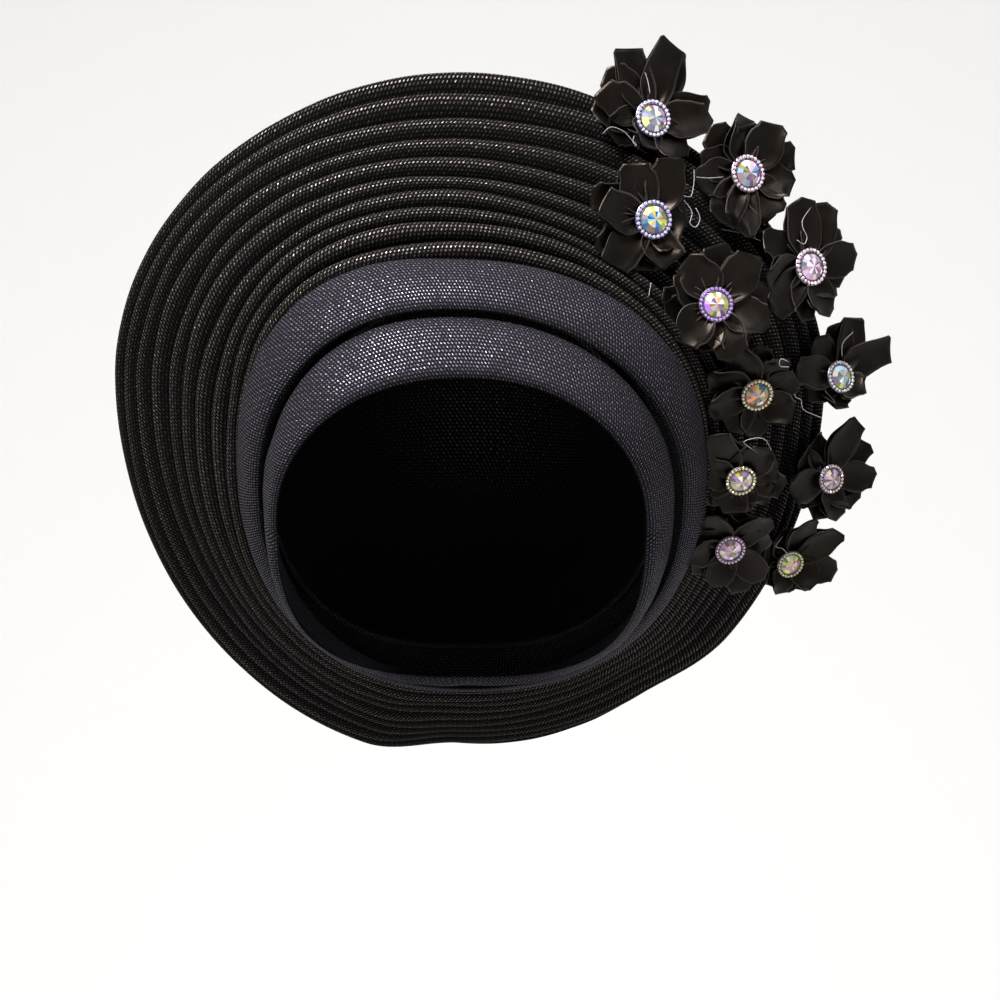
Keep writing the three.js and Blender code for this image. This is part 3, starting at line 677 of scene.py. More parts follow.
# %% [markdown]
# ## The two bands
# A band is a wide strip folded in thirds and laid flat round the opening. Its front is gently crowned
# and its edges are soft folds: a crisp one where the brow band ends, a wide rolled one where the crown
# band laps over it. A bevel on a plain strip would give both edges the same fold. Here the profile is
# the distance from the strip's flat back, which drops to nothing at each edge along a quarter circle
# with a radius of its own.

# %% Band sizes
# Millimetres, and the seed of the ripples. The radii are those of the two soft edges.
Band = namedtuple("Band", "wall crown first_radius last_radius lift seed")
BROW_BAND = Band(2.4, 1.6, 3.6, 6.0, 0.0, 5)
CROWN_BAND = Band(2.4, 1.7, 8.0, 3.0, 4.4, 8)
BAND_FRONT = 44  # points across the front
BAND_BACK = 10
CROWN_EDGE = {"at_top": -0.6, "at_side": 0.15, "clear": 0.6}  # how it leans out, and its gap to the roll
RIPPLE = 0.22  # millimetres
RIPPLE_WAVES = (9, 14, 23, 37)
RIPPLE_SWAY = 2.0  # how far the ripples shift across the band
print("points across a band:", BAND_FRONT + BAND_BACK)


# %% Bands
def tangent(points):
    """The way a closed line runs at each point."""
    return unit(np.roll(points, -1, axis=0) - np.roll(points, 1, axis=0))


def crown_edge():
    """The crown band's upper edge: straight in front of the innermost roll, leaning inwards at the top
    and outwards at the sides with the square of the sine."""
    centre = roll_points(LAST, ANGLES)
    radius = np.linalg.norm(border(LAST - 1)[0] - centre, axis=-1, keepdims=True)
    tilt = CROWN_EDGE["at_top"] + (CROWN_EDGE["at_side"] - CROWN_EDGE["at_top"]) * np.sin(ANGLES) ** 2
    outwards = unit(centre * [1, 0, 1] - [0, 0, CAP["z"]])
    way = unit(np.array([0, -1, 0]) + outwards * tilt[:, None])
    return centre + way * (radius + CROWN_EDGE["clear"])


def make_band(name, start, end, outs, shape, cloth):
    """A strip between two lines. At a share s across, its height is a quarter circle in from each edge,
    times the wall plus crown times 4 s (1 - s), with slow ripples. Gives its width and length too."""
    width = np.linalg.norm(end - start, axis=-1)
    front = (1 - np.cos(np.linspace(0, np.pi, BAND_FRONT))) / 2
    back = np.linspace(1, 0, BAND_BACK)
    share = np.concatenate([front, back])[:, None]
    near = np.clip(share * width / shape.first_radius, 0, 1)
    far = np.clip((1 - share) * width / shape.last_radius, 0, 1)
    soft = np.sqrt(np.clip(1 - (1 - near) ** 2, 0, 1)) * np.sqrt(np.clip(1 - (1 - far) ** 2, 0, 1))
    bulge = shape.wall + shape.crown * 4 * share * (1 - share)
    sway = np.sin(np.pi * share * 2 + drift(ANGLES, shape.seed + 1, RIPPLE_SWAY))
    waves = drift(ANGLES, shape.seed, 1, RIPPLE_WAVES) * sway
    is_front = np.arange(len(share))[:, None] < BAND_FRONT
    level = np.where(is_front, soft * (bulge + RIPPLE * waves), 0.0)
    level = level + shape.lift * (1 - share)
    out = unit(outs[0] + (outs[1] - outs[0]) * share[..., None])
    section = start + (end - start) * share[..., None] + out * level[..., None]
    ring_length = round_loop(section[BAND_FRONT // 2], REPEAT / BAND_FINENESS)
    across = lengths_along(section[:BAND_FRONT].transpose(1, 0, 2)).mean(0)
    wide = across[-1]
    across = np.concatenate([across, wide * np.linspace(1, 0, BAND_BACK), across[:1]]) - wide / 2
    uv = np.stack(np.meshgrid(ring_length, across), axis=-1)
    piece = face_out(grid_piece(name, section, uv, [cloth], True, True))
    return piece, wide, ring_length[-1]


brow_line = loop_points(BROW_EDGE, BROW_EDGE_DEPTHS, ANGLES)
groove_line = loop_points(BROW_GROOVE, BROW_GROOVE_DEPTHS, ANGLES)
upper_line = crown_edge()
run = tangent(groove_line)
brow_out = unit(np.cross(run, groove_line - brow_line))
crown_out = unit(np.cross(run, upper_line - groove_line))
shared_out = unit(brow_out + crown_out)
brow_outs, crown_outs = (brow_out, shared_out), (shared_out, crown_out)
brow_band = make_band("brow_band_cloth", brow_line, groove_line, brow_outs, BROW_BAND, BROW_CLOTH)
crown_band = make_band("crown_band_cloth", groove_line, upper_line, crown_outs, CROWN_BAND, CROWN_CLOTH)
print("bands:", [round(float(x)) for x in brow_band[1:] + crown_band[1:]], "mm wide and long")

# %% [markdown]
# ## The cap
# The cap is mostly behind the fan. It is one dome of the same cloth with a wall of 2 mm: its rings run
# from the back over the outside to the rim, and inside to the back again. Half a sphere with a
# thickness added would do, but these rings meet the pleats' bases exactly. The weave is laid on it like
# a map of the pole: a point's place is its distance from the back, turned by its angle.

# %% Cap
CAP_RINGS = 30


def make_cap():
    """Rings at even steps of the angle a from the rim to the back, where the depth is the cap's middle
    plus its back times sin a, first on the outside and then, inwards by the wall, on the inside."""
    front = depth_at(Depths(*INNER_BASE), ANGLES) - CAP["rim_ahead"]
    first = np.arcsin(np.clip((front - CAP["y"]) / CAP["back"], -1, 1))
    share = np.linspace(0, 1, CAP_RINGS + 1)[:-1, None]
    depth = CAP["y"] + CAP["back"] * np.sin(first + (np.pi / 2 - first) * share)
    outside, inside = (cap_points(depth, ANGLES, inset) for inset in (0, CAP["wall"]))
    rings = np.concatenate([outside[::-1], inside])
    points, faces = closed_stack(rings)
    pole = np.linalg.norm(rings[0] - rings[0].mean(0), axis=-1).mean()
    reach = lengths_along(rings.transpose(1, 0, 2)).mean(0)
    reach = pole + np.minimum(reach, reach[-1] - reach)[:, None]
    flat = np.stack([reach * np.sin(ANGLES), reach * np.cos(ANGLES)], axis=-1).reshape(-1, 2)
    flat = np.concatenate([flat, np.zeros((2, 2))])
    return face_out(make_piece("cap_cloth", points, faces, [CAP_CLOTH], uv=flat[np.concatenate(faces)]))


cap = make_cap()
print("cap:", len(cap.data.polygons), "faces")

# %% [markdown]
# ## The tuck at the nape
# At the lower right the pleats end in a small gathered bundle. It could be sculpted, but so small and
# dark a piece needs only its outline and its gathers: it is a flat spindle that lies along the
# outermost pleat, with lengthwise gathers that fade towards its ends.

# %% Tuck
# Start and end are degrees round the loop, the thin end is a share, and the rest is millimetres.
TUCK = {"start": 146, "end": 196, "width": 20, "thick": 6, "thin_end": 0.3, "clear": 0.75, "girth": 44}
TUCK_BACK = 0.3  # it lies this share of its width behind the roll
GATHERS = {"deep": 0.16, "turns": 4.5, "sway": 1.2, "sway_turns": 3}
TUCK_LENGTH, TUCK_ROUND = 90, 72


def outer_roll(angle):
    """The middle of the outermost roll and its half width, at some angles."""
    outer = (roll_points(-1, angle) + roll_points(0, angle)) / 2
    inner = (roll_points(0, angle) + roll_points(1, angle)) / 2
    middle = (outer + inner) / 2
    return middle, np.linalg.norm(outer - middle, axis=-1, keepdims=True)


def make_tuck():
    """A spindle: at a share s along it, its width and thickness follow sin(pi s), and the section is an
    ellipse drawn in by the gathers, which are a folded sine of the turn."""
    share = np.linspace(0, 1, TUCK_LENGTH)
    angle = np.radians(TUCK["start"] + (TUCK["end"] - TUCK["start"]) * share)
    centre, radius = outer_roll(angle)
    inwards = unit(roll_points(1, angle) - centre)
    back = unit(base_points(0, angle) - centre)
    away = unit(back * (inwards * back).sum(-1, keepdims=True) - inwards)
    full = (TUCK["thin_end"] + (1 - TUCK["thin_end"]) * np.sin(np.pi * share))[:, None]
    thick, width = TUCK["thick"] * full, TUCK["width"] * full
    middle = centre + away * (radius + TUCK["clear"] + thick / 2) + back * width * TUCK_BACK
    turn = np.linspace(0, 2 * np.pi, TUCK_ROUND, endpoint=False)[:, None, None]
    sway = GATHERS["sway"] * np.sin(GATHERS["sway_turns"] * share)[:, None]
    folds = np.abs(np.sin(GATHERS["turns"] * turn + sway))
    drawn_in = 1 - GATHERS["deep"] * folds * np.sin(np.pi * share)[:, None]
    section = middle + drawn_in * (away * thick / 2 * np.cos(turn) + back * width / 2 * np.sin(turn))
    points, faces = closed_stack(section.transpose(1, 0, 2))
    along = lengths_along(section.mean(0)[None])[0]
    place = np.stack(np.meshgrid(np.linspace(0, TUCK["girth"], TUCK_ROUND), along), axis=-1).reshape(-1, 2)
    place = np.concatenate([place, place[:1], place[-1:]])
    uv = place[np.concatenate(faces)]
    return face_out(make_piece("nape_tuck_cloth", points, faces, [PLEAT_CLOTH], uv=uv))


tuck = make_tuck()
print("tuck:", round(mesh_area(tuck) * 1e4, 1), "square centimetres")

# %% [markdown]
# ## The ribbon flowers
# Each petal is one short length of ribbon: it runs out from the middle, folds at a slanted tip and runs
# back underneath. A flower has eight to eleven of them in two layers. One petal could be copied round, but
# on the real flowers no two are alike, so the tips that show were read off the photo. A ray from the
# camera through each one meets the plane of its layer. The petals then lie on their own flower from any
# side, and the gaps where nothing was readable get a petal of their own.

# %% Flower tables
# Yaw and pitch are in degrees and the ribbon's width in millimetres. Then come the colour of the tiny
# stones, the tints of the large one with its glow painted in, and the tips of the front and back layers in
# pixels of the photo.
Flower = namedtuple("Flower", "yaw pitch ribbon ring glows front behind")
FLOWERS = [
    Flower(24, 5, 15.5, "#ded6ee", "#ffffff #e3eb8f #dc9fd4 #c5d4f2 #9c9cbc", [
        (662, 36), (618, 48), (599, 94), (640, 148), (690, 155), (714, 120)], [
        (686, 51), (609, 67), (593, 109), (606, 130), (713, 100)]),
    Flower(27, 3, 15.5, "#e8cfdd", "#f3d2e8 #c64fc0 #ffffff #8fb2ec #b8a55e", [
        (739, 113), (781, 126), (795, 180), (782, 212), (740, 242), (712, 230)], [
        (714, 124), (793, 148), (764, 228), (694, 178)]),
    Flower(20, 0, 15.5, "#c3bfe6", "#3f8fe0 #9fd3ee #d9dd6a #c9a98a #e9e6f2", [
        (625, 164), (678, 157), (596, 211), (603, 260), (664, 270)], [
        (594, 187), (594, 248), (632, 276), (688, 222)]),
    Flower(32, 3, 14.5, "#e9d6dd", "#efe3ee #d6aed0 #e88fc0 #b9b2cc #ffffff", [
        (802, 197), (828, 202), (858, 254), (834, 315), (772, 312), (761, 276)], [
        (846, 229), (848, 277), (801, 322), (768, 230)]),
    Flower(10, 0, 15.0, "#b48fd8", "#a66fd0 #e0a45c #a9ae62 #d9b7ea #ffffff", [
        (692, 254), (761, 258), (771, 324), (733, 360), (675, 341)], [
        (726, 242), (654, 302), (655, 318), (770, 290)]),
    Flower(32, 6, 13.5, "#cfd0cf", "#c9a8e2 #6fa6d8 #c9d86a #a9b7ae #f0eee4", [
        (864, 318), (886, 339), (864, 395), (798, 366)], [(842, 322), (871, 368), (834, 410)]),
    Flower(14, -24, 13.0, "#ddd3a6", "#4f93c4 #e0875a #a9a65a #c9907f #efe2c4", [
        (737, 344), (705, 374), (704, 411)], [(759, 345)]),
    Flower(30, -8, 12.5, "#d9c4c4", "#e3c2b4 #b79ac9 #efdcd0 #9a8fb0", [
        (853, 416), (875, 473), (839, 521), (787, 488)], [(869, 444), (862, 498), (792, 458)]),
    Flower(12, -26, 12.5, "#ddd3a2", "#d9bfa0 #9a7fb5 #d3c46a #efe6d4", [
        (707, 439), (771, 447), (699, 476)], [(727, 439), (787, 482), (704, 505)]),
    Flower(12, -26, 12.5, "#d3b9cf", "#d99ec6 #b9a9d6 #a9a86a #f2dfe9", [
        (704, 517), (771, 517), (689, 558), (715, 589), (765, 581)], [(724, 513), (695, 576), (748, 593)]),
    Flower(22, -22, 12.0, "#d9dba6", "#e6c3b4 #c9d56a #d79cb4 #f3efdf", [
        (815, 517), (844, 535), (818, 581), (777, 595)], [(841, 573), (809, 592), (765, 584)]),
]
STONE_RISE = 1.7  # the stone's back lies this far above the middle of its flower, as in the frame
STAND_OFF = 9.0  # the middle of a flower stands this far off the rolls
TIP_RISE = 3.6  # how far the tips lean forward of the middle
LAYER_DROP = 2.4  # the second layer of petals lies this far behind the first
WIDEST_GAP = 46  # degrees between tips, past which another petal is put in
SPARE_REACH = 0.86  # the length of such a petal, as a share of its neighbours'
print("tips read:", sum(len(flower.front) + len(flower.behind) for flower in FLOWERS))


# %% Where a flower sits
def node_points(name):
    """The corners of a frame node in millimetres."""
    mesh = NODES[name].data
    points = np.empty(len(mesh.vertices) * 3)
    mesh.vertices.foreach_get("co", points)
    return points.reshape(-1, 3) / MM


def axis_of(flower):
    """The way a flower faces: forward, turned by its yaw to +X and its pitch upwards."""
    yaw, pitch = np.radians([flower.yaw, flower.pitch])
    return np.array([np.sin(yaw) * np.cos(pitch), -np.cos(yaw) * np.cos(pitch), np.sin(pitch)])


def flower_middle(number, axis):
    """The middle of a flower, from the stone that the frame puts over it."""
    stone = node_points(f"stone_{number:02d}")
    centre = stone.mean(0)
    return centre + axis * (((stone - centre) @ axis).min() - STONE_RISE)


OUTERMOST, ROW_STEPS = -0.4, 48
ROLLS = np.stack([roll_points(row, ANGLES) for row in np.linspace(OUTERMOST, LAST, ROW_STEPS)])
ALONG_ROWS = np.gradient(ROLLS, axis=0)
ALONG_ROLLS = (np.roll(ROLLS, -1, axis=1) - np.roll(ROLLS, 1, axis=1)) / 2
FRONT_WAY = unit(np.cross(ALONG_ROWS, ALONG_ROLLS))
FRONT_WAY = FRONT_WAY * -np.sign(FRONT_WAY[..., 1:2])


def fan_facing(point):
    """The way the fan faces at the place nearest to a point."""
    nearest = ((ROLLS - point) ** 2).sum(-1).argmin()
    return FRONT_WAY.reshape(-1, 3)[nearest]


print("first flower's middle:", flower_middle(1, axis_of(FLOWERS[0])).round(1))

# %% Petal sizes
PETAL_STEPS = 18  # places along one ply
PETAL_ACROSS = 11
PETAL_START = 0.08  # the ribbon is gathered at this share of the way out
START_WIDTH = 0.3  # the share of its width that shows there
FULL_WIDTH = (-0.05, 0.48)  # it widens between these shares of the way
TIP = (0.6, 1.0)  # and its tip lies between these
TIP_NARROW = 0.26  # how much narrower the ribbon looks at its tip
TIP_SLOPE = 0.5  # how steeply the sides of a tip slope back
RIBBON_WALL = 0.3
BASE_DROP = 3.0  # the petals start this far below the button
TROUGH = {"start": 1.0, "all": 0.22}  # how deep the trough is, against half the width
PUCKER = {"deep": 0.35, "turns": 3}  # the gathers at the start
WAVER = {"wide": 0.3, "turns": 9, "phase": 7}  # the sides aren't quite straight
SAG_POWER = 0.8
PLY_GAP = 0.25  # the least space between a petal's two plies
PETAL_CHANCE = {"point": (-0.75, 0.75), "twist": (-0.45, 0.45), "curl": (-2.2, 2.6), "sag": (1.4, 4.0)}
LOWER = {"all": 0.4, "behind": 0.5 * LAYER_DROP, "every_other": 0.25}  # how far below the tips' plane
CLEAR_OF_ROLLS = 1.6
PETAL_SEED = 300
print("points on a petal:", 2 * PETAL_STEPS * PETAL_ACROSS)


# %% Petal plan
def petal_plan(flower, middle, axis):
    """The arm of each petal, from the flower's middle to its tip, and whether it lies behind: the
    readable tips first, then some in each wide gap, evenly turned and as long as their neighbours."""
    way = rays(flower.front + flower.behind)
    behind = np.arange(len(way)) >= len(flower.front)
    rise = TIP_RISE - LAYER_DROP * behind
    distance = ((middle - EYE) @ axis + rise) / (way @ axis)
    arms = EYE + way * distance[:, None] - middle
    level, upright = crossways(axis)
    turn = np.degrees(np.arctan2(arms @ upright, arms @ level)) % 360
    order = np.argsort(turn)
    turn, arms, behind = turn[order], arms[order], behind[order]
    lengths = np.linalg.norm(arms, axis=-1)
    reaches = (lengths + np.roll(lengths, -1)) / 2 * SPARE_REACH
    span = np.diff(np.append(turn, turn[0] + 360))
    spare = []
    for k in np.flatnonzero(span > WIDEST_GAP):
        count = int(span[k] // WIDEST_GAP)
        angle = np.radians(turn[k] + span[k] * np.arange(1, count + 1) / (count + 1))[:, None]
        across = level * np.cos(angle) + upright * np.sin(angle)
        spare.append(across * reaches[k] + axis * (TIP_RISE - LAYER_DROP))
    spare = np.concatenate([np.empty((0, 3))] + spare)
    return np.concatenate([arms, spare]), np.append(behind, np.ones(len(spare), bool))


first_axis = axis_of(FLOWERS[0])
first_plan = petal_plan(FLOWERS[0], flower_middle(1, first_axis), first_axis)
print("petals of the first flower:", len(first_plan[0]), "of which behind:", int(first_plan[1].sum()))


# %% Petal shape
def petal_grid(arm, axis, ribbon, low, chance):
    """One petal: rows run along the ribbon, out over the front ply and back under it. The ribbon is
    narrow at its start and full from half way; at the tip both sides slope back from a point that lies
    off the middle. Its height is a trough that opens towards the tip, plus a curl; it starts low under
    the button, and the lower ply sags under it by a power of sin(pi s)."""
    reach = np.linalg.norm(arm)
    out = arm / reach
    across = unit(np.cross(axis, out))
    up = unit(np.cross(out, across))
    point, twist, curl, sag = chance.uniform(*np.transpose(list(PETAL_CHANCE.values())))
    s = np.linspace(PETAL_START, 1, PETAL_STEPS)
    s = np.concatenate([s, np.linspace(1, PETAL_START, PETAL_STEPS)])[:, None]
    under = (np.arange(2 * PETAL_STEPS) >= PETAL_STEPS)[:, None]
    t = np.interp(np.linspace(-1, 1, PETAL_ACROSS), [-1, 0, 1], [-1, point, 1])[None]
    grown = smoothstep(s, *FULL_WIDTH)
    tip = smoothstep(s, *TIP)
    half = ribbon / 2 * (START_WIDTH + (1 - START_WIDTH) * grown) * (1 - TIP_NARROW * tip)
    trough = (TROUGH["start"] * (1 - grown) + TROUGH["all"]) * half
    pucker = PUCKER["deep"] * np.cos(PUCKER["turns"] * np.pi * t) * (1 - grown)
    height = trough * t ** 2 + curl * s ** 3 + pucker - low
    height = height - BASE_DROP * (1 - s) ** 2 + twist * half * t * s
    height = height - under * (sag * np.sin(np.pi * s) ** SAG_POWER + PLY_GAP)
    waver = WAVER["wide"] * np.sin(WAVER["turns"] * s + WAVER["phase"] * point) * t
    side = half * t - point * ribbon / 2 * (1 - TIP_NARROW) * s ** 2 + waver
    forward = s * reach - TIP_SLOPE * half * np.abs(t - point) * tip
    return out * forward[..., None] + across * side[..., None] + up * height[..., None]


sample = petal_grid(np.array([30.0, 0, 0]), np.array([0, -1.0, 0]), 15.0, 0.0, np.random.default_rng(0))
print("a petal of 30 mm spans:", np.ptp(sample, axis=(0, 1)).round(1), "mm")

# %% Flowers
Made = namedtuple("Made", "piece area length middle axis facing")


def make_flower(number, flower):
    """All the petals of one flower in one mesh, kept clear of the rolls behind it."""
    axis = axis_of(flower)
    middle = flower_middle(number, axis)
    facing = fan_facing(middle)
    arms, behind = petal_plan(flower, middle, axis)
    chance = np.random.default_rng(PETAL_SEED + number)
    lows = LOWER["all"] + LOWER["behind"] * behind + LOWER["every_other"] * (np.arange(len(arms)) % 2)
    grids = [petal_grid(arm, axis, flower.ribbon, low, chance) for arm, low in zip(arms, lows)]
    grids = np.stack(grids) + middle
    height = (grids - middle) @ facing + STAND_OFF
    grids = grids + facing * np.maximum(CLEAR_OF_ROLLS - height, 0)[..., None]
    count, rows, columns = grids.shape[:3]
    faces, _ = grid_faces(rows, columns)
    faces = (faces + np.arange(count)[:, None, None] * rows * columns).reshape(-1, 4)
    along = lengths_along(grids[:, :, columns // 2])
    across = np.broadcast_to(np.linspace(-1, 1, columns), grids.shape[:3])
    uv = np.stack([np.repeat(along[..., None], columns, -1), across], axis=-1).reshape(-1, 2)
    piece = make_piece(f"ribbon_flower_{number:02d}", grids, faces.tolist(), [SATIN], uv=uv[faces])
    area = mesh_area(piece)
    wall = piece.modifiers.new("ribbon", "SOLIDIFY")
    wall.thickness = RIBBON_WALL * MM
    wall.offset = 0
    return Made(piece, area, along[:, -1].mean() * count, middle, axis, facing)


flowers = [make_flower(number, flower) for number, flower in enumerate(FLOWERS, 1)]
print("square centimetres of ribbon:", [round(made.area * 1e4, 1) for made in flowers])

# %% [markdown]
# ## Backings and buttons
# A felt disc holds each flower on the rolls. The button is a plated cup with a ring of tiny round
# stones and one large pointed stone, whose facets run from the rim to the middle. Facets could be cut
# one by one, but all of these are round, so each is a short table of radius and height, turned about
# the flower's axis. On the stone, the few sides of the turn are the facets.

# %% Button profiles
# Radii and heights are shares of the cup's radius, and those of a tiny stone are shares of its size.
HALO = {"stones": 24, "sides": 7, "place": 0.875, "size": 0.112, "rise": 0.19}
CUP = [(0.55, 0.0), (0.9, 0.0), (0.98, 0.1), (0.99, 0.18), (0.96, 0.21), (0.93, 0.18), (0.78, 0.18),
       (0.755, 0.27), (0.73, 0.28), (0.71, 0.2), (0.62, 0.16)]
CUP_SIDES = 48
CUP_RISE = 0.35  # millimetres
GEM_SIDES = 16  # every two make a facet
GEM = [(0.6, 0.16), (0.705, 0.2), (0.705, 0.23), (0.42, 0.38), (0.02, 0.46)]
BEAD = [(0.8, 0.0), (1.0, 0.5), (0.62, 1.05), (0.2, 1.15)]
# painted light and shade: facets of the stones are made brighter or darker by chance
PAINTED_FACET_LIGHT = (1.0, 0.3, 0.7)  # how bright neighbouring facets of the large stone are
PAINTED_BEAD_LIGHT = [1.0, 0.75, 0.5]
BUTTON_SEED = 500
print("faces of a large stone:", GEM_SIDES * (len(GEM) + 1))


# %% Buttons
def paint_facets(piece, colours):
    """Gives each face its own colour, as linear light, in the piece's face colours."""
    layer = piece.data.color_attributes.new("facet", "FLOAT_COLOR", "CORNER")
    sizes = np.empty(len(piece.data.polygons), np.int32)
    piece.data.polygons.foreach_get("loop_total", sizes)
    light = np.concatenate([colours, np.ones((len(colours), 1))], axis=1)
    layer.data.foreach_set("color", np.repeat(light, sizes, axis=0).astype(np.float32).ravel())


def make_cup(number, flower, base, axis, radius, chance):
    """The cup with its ring of tiny stones, which are profiles of the bead at even turns."""
    cup = closed_stack(turned(radius * np.array(CUP), CUP_SIDES, base, axis))
    bodies = [cup]
    bead = HALO["size"] * radius * np.array(BEAD)
    level, upright = crossways(axis)
    for turn in np.linspace(0, 2 * np.pi, HALO["stones"], endpoint=False):
        across = level * np.cos(turn) + upright * np.sin(turn)
        spot = base + axis * HALO["rise"] * radius
        spot = spot + across * radius * HALO["place"]
        bodies.append(closed_stack(turned(bead, HALO["sides"], spot, axis, turn)))
    points, faces = join_bodies(bodies)
    kinds = np.arange(len(faces)) >= len(cup[1])
    piece = make_piece(f"button_{number:02d}", points, faces, [METAL, CRYSTAL], kinds=kinds, smooth=False)
    # painted light and shade: each face of the tiny stones gets the ring colour at a chance brightness
    bright = chance.choice(PAINTED_BEAD_LIGHT, len(faces))
    paint_facets(piece, np.array(linear(flower.ring)[:3]) * bright[:, None])
    return piece


def make_gem(number, flower, base, axis, radius, chance):
    """The large stone. Two neighbouring sides share a sector, a facet's tint is the sector's number plus
    its ring's and a chance step, and a few facets are darkened as painted shade."""
    points, faces = closed_stack(turned(radius * np.array(GEM), GEM_SIDES, base, axis))
    piece = make_piece(f"crystal_{number:02d}", points, faces, [CRYSTAL], smooth=False)
    glows = np.array([linear(colour)[:3] for colour in flower.glows.split()])
    sector = np.arange(GEM_SIDES) // 2
    pick = [sector * 2 + ring + chance.integers(0, 2, GEM_SIDES) for ring in range(len(GEM) - 1)]
    pick += [sector * 0, pick[-1]]
    facet_painted_light = np.array(PAINTED_FACET_LIGHT)[chance.integers(0, len(PAINTED_FACET_LIGHT), len(faces))]
    paint_facets(piece, glows[np.concatenate(pick) % len(glows)] * facet_painted_light[:, None])
    return piece


def make_button(number, flower, middle, axis):
    """Cup and stone, as wide as the frame's setting."""
    setting = node_points(f"setting_{number:02d}")
    radius = np.linalg.norm(np.cross(setting - middle, axis), axis=-1).max()
    chance = np.random.default_rng(BUTTON_SEED + number)
    place = (number, flower, middle + axis * CUP_RISE, axis, radius, chance)
    return make_cup(*place), make_gem(*place)


buttons = [make_button(n, FLOWERS[n - 1], made.middle, made.axis) for n, made in enumerate(flowers, 1)]
print("buttons:", sum(len(cup.data.polygons) + len(gem.data.polygons) for cup, gem in buttons), "faces")

# %% Backings
BACKING = {"foot": 5.4, "top": 6.6, "sunk": 1.6, "waist": 0.22, "clear": 0.45, "sides": 32, "rings": 8}


def make_backing(number, middle, axis, facing):
    """A felt pad from the rolls up to the petals: rings from the foot's circle to the top's, drawn in
    between them by the waist times sin(pi s)."""
    foot = middle - facing * (STAND_OFF - BACKING["clear"])
    lower = turned([(BACKING["foot"], 0.0)], BACKING["sides"], foot, facing)
    upper = turned([(BACKING["top"], -BACKING["sunk"])], BACKING["sides"], middle, axis)
    share = np.linspace(0, 1, BACKING["rings"])[:, None, None]
    rings = lower + (upper - lower) * share
    centres = rings.mean(1, keepdims=True)
    rings = centres + (rings - centres) * (1 - BACKING["waist"] * np.sin(np.pi * share))
    return face_out(make_piece(f"backing_{number:02d}", *closed_stack(rings), [FELT]))


backings = [make_backing(n, made.middle, made.axis, made.facing) for n, made in enumerate(flowers, 1)]
print("backings:", len(backings))

# %% [markdown]
# ## Stray threads
# Here and there a thin nylon thread from the sewing stands off a flower. A curve object with a bevel could
# draw it, but as a mesh it needs nothing more. Each is drawn through a few points that were read off the
# photo, on a plane a little in front of its flower, smoothed, and given a round section of five sides.
# They are all one small mesh.

# %% Threads
# The number of a flower, how far in front of its middle the thread lies, and pixels of the photo.
Stray = namedtuple("Stray", "flower lift pixels")
STRAYS = [
    Stray(1, 4.5, [(645, 72), (648, 82), (650, 93)]),
    Stray(1, 3.0, [(602, 134), (611, 127), (623, 131), (631, 139), (637, 146), (633, 142), (634, 136)]),
    Stray(2, 3.0, [(694, 169), (694, 182), (691, 196), (684, 196)]),
    Stray(2, 3.5, [(696, 177), (708, 178), (723, 177)]),
    Stray(3, 3.0, [(684, 200), (692, 212), (690, 223), (696, 227), (700, 218), (696, 208)]),
    Stray(2, 2.0, [(720, 229), (740, 233), (761, 241)]),
    Stray(4, 4.5, [(812, 206), (803, 219), (803, 228), (807, 237), (804, 244), (797, 240)]),
    Stray(5, 3.0, [(632, 285), (637, 306), (650, 312), (649, 296), (651, 283)]),
    Stray(6, 4.0, [(842, 357), (843, 343), (853, 332)]),
    Stray(6, 3.0, [(794, 382), (795, 396), (801, 400), (804, 410), (822, 418)]),
    Stray(7, 3.5, [(789, 362), (781, 359), (780, 366), (789, 367)]),
    Stray(9, 3.5, [(758, 453), (744, 442), (764, 439), (775, 459)]),
    Stray(11, 3.5, [(783, 536), (776, 546), (783, 549), (790, 557)]),
]
STRAY_RADIUS = 0.16  # millimetres: a little thicker than the real thread, so that it shows
STRAY_STEPS, STRAY_SIDES = 40, 5
STRAY_TAPER = (0.3, 6)  # thickness at one end and the other, where 1 is already full


def smooth_line(points, steps):
    """A curve through points: each stretch is a cubic that leaves a point along the line between its
    neighbours."""
    padded = np.concatenate([points[:1] * 2 - points[1:2], points, points[-1:] * 2 - points[-2:-1]])
    place = np.linspace(0, len(points) - 1, steps)
    k = np.minimum(place.astype(int), len(points) - 2)
    s = (place - k)[:, None]
    a, b, c, d = padded[k], padded[k + 1], padded[k + 2], padded[k + 3]
    return b + 0.5 * s * (c - a + s * (2 * a - 5 * b + 4 * c - d + s * (3 * (b - c) + d - a)))


def make_stray(stray):
    """One thread: its rays meet a plane in front of its flower, and a circle is carried along the
    smooth line through them."""
    made = flowers[stray.flower - 1]
    way = rays(stray.pixels)
    distance = ((made.middle - EYE) @ made.axis + stray.lift) / (way @ made.axis)
    line = smooth_line(EYE + way * distance[:, None], STRAY_STEPS)
    forward = unit(np.gradient(line, axis=0))
    side = unit(np.cross(forward, made.axis))
    up = np.cross(side, forward)
    turn = np.linspace(0, 2 * np.pi, STRAY_SIDES, endpoint=False)[None, :, None]
    taper = np.minimum(np.linspace(*STRAY_TAPER, STRAY_STEPS), 1)[:, None, None]
    circle = side[:, None] * np.cos(turn) + up[:, None] * np.sin(turn)
    return closed_stack(line[:, None] + STRAY_RADIUS * taper * circle)


strays = join_bodies([make_stray(stray) for stray in STRAYS])
threads = face_out(make_piece("stray_threads", *strays, [THREAD]))
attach(threads, "root")
print("threads:", len(STRAYS), "with", len(threads.data.polygons), "faces")

# %% [markdown]
# Every piece rides on the frame's one body and stands for its plain solid, which is hidden. A sheet's
# cloth area is measured on the surface: half of a closed strip's area, because it has two faces.


def declare(piece, node):
    """The piece rides on the body and stands for a frame node, which it hides."""
    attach(piece, "root")
    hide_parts(node)


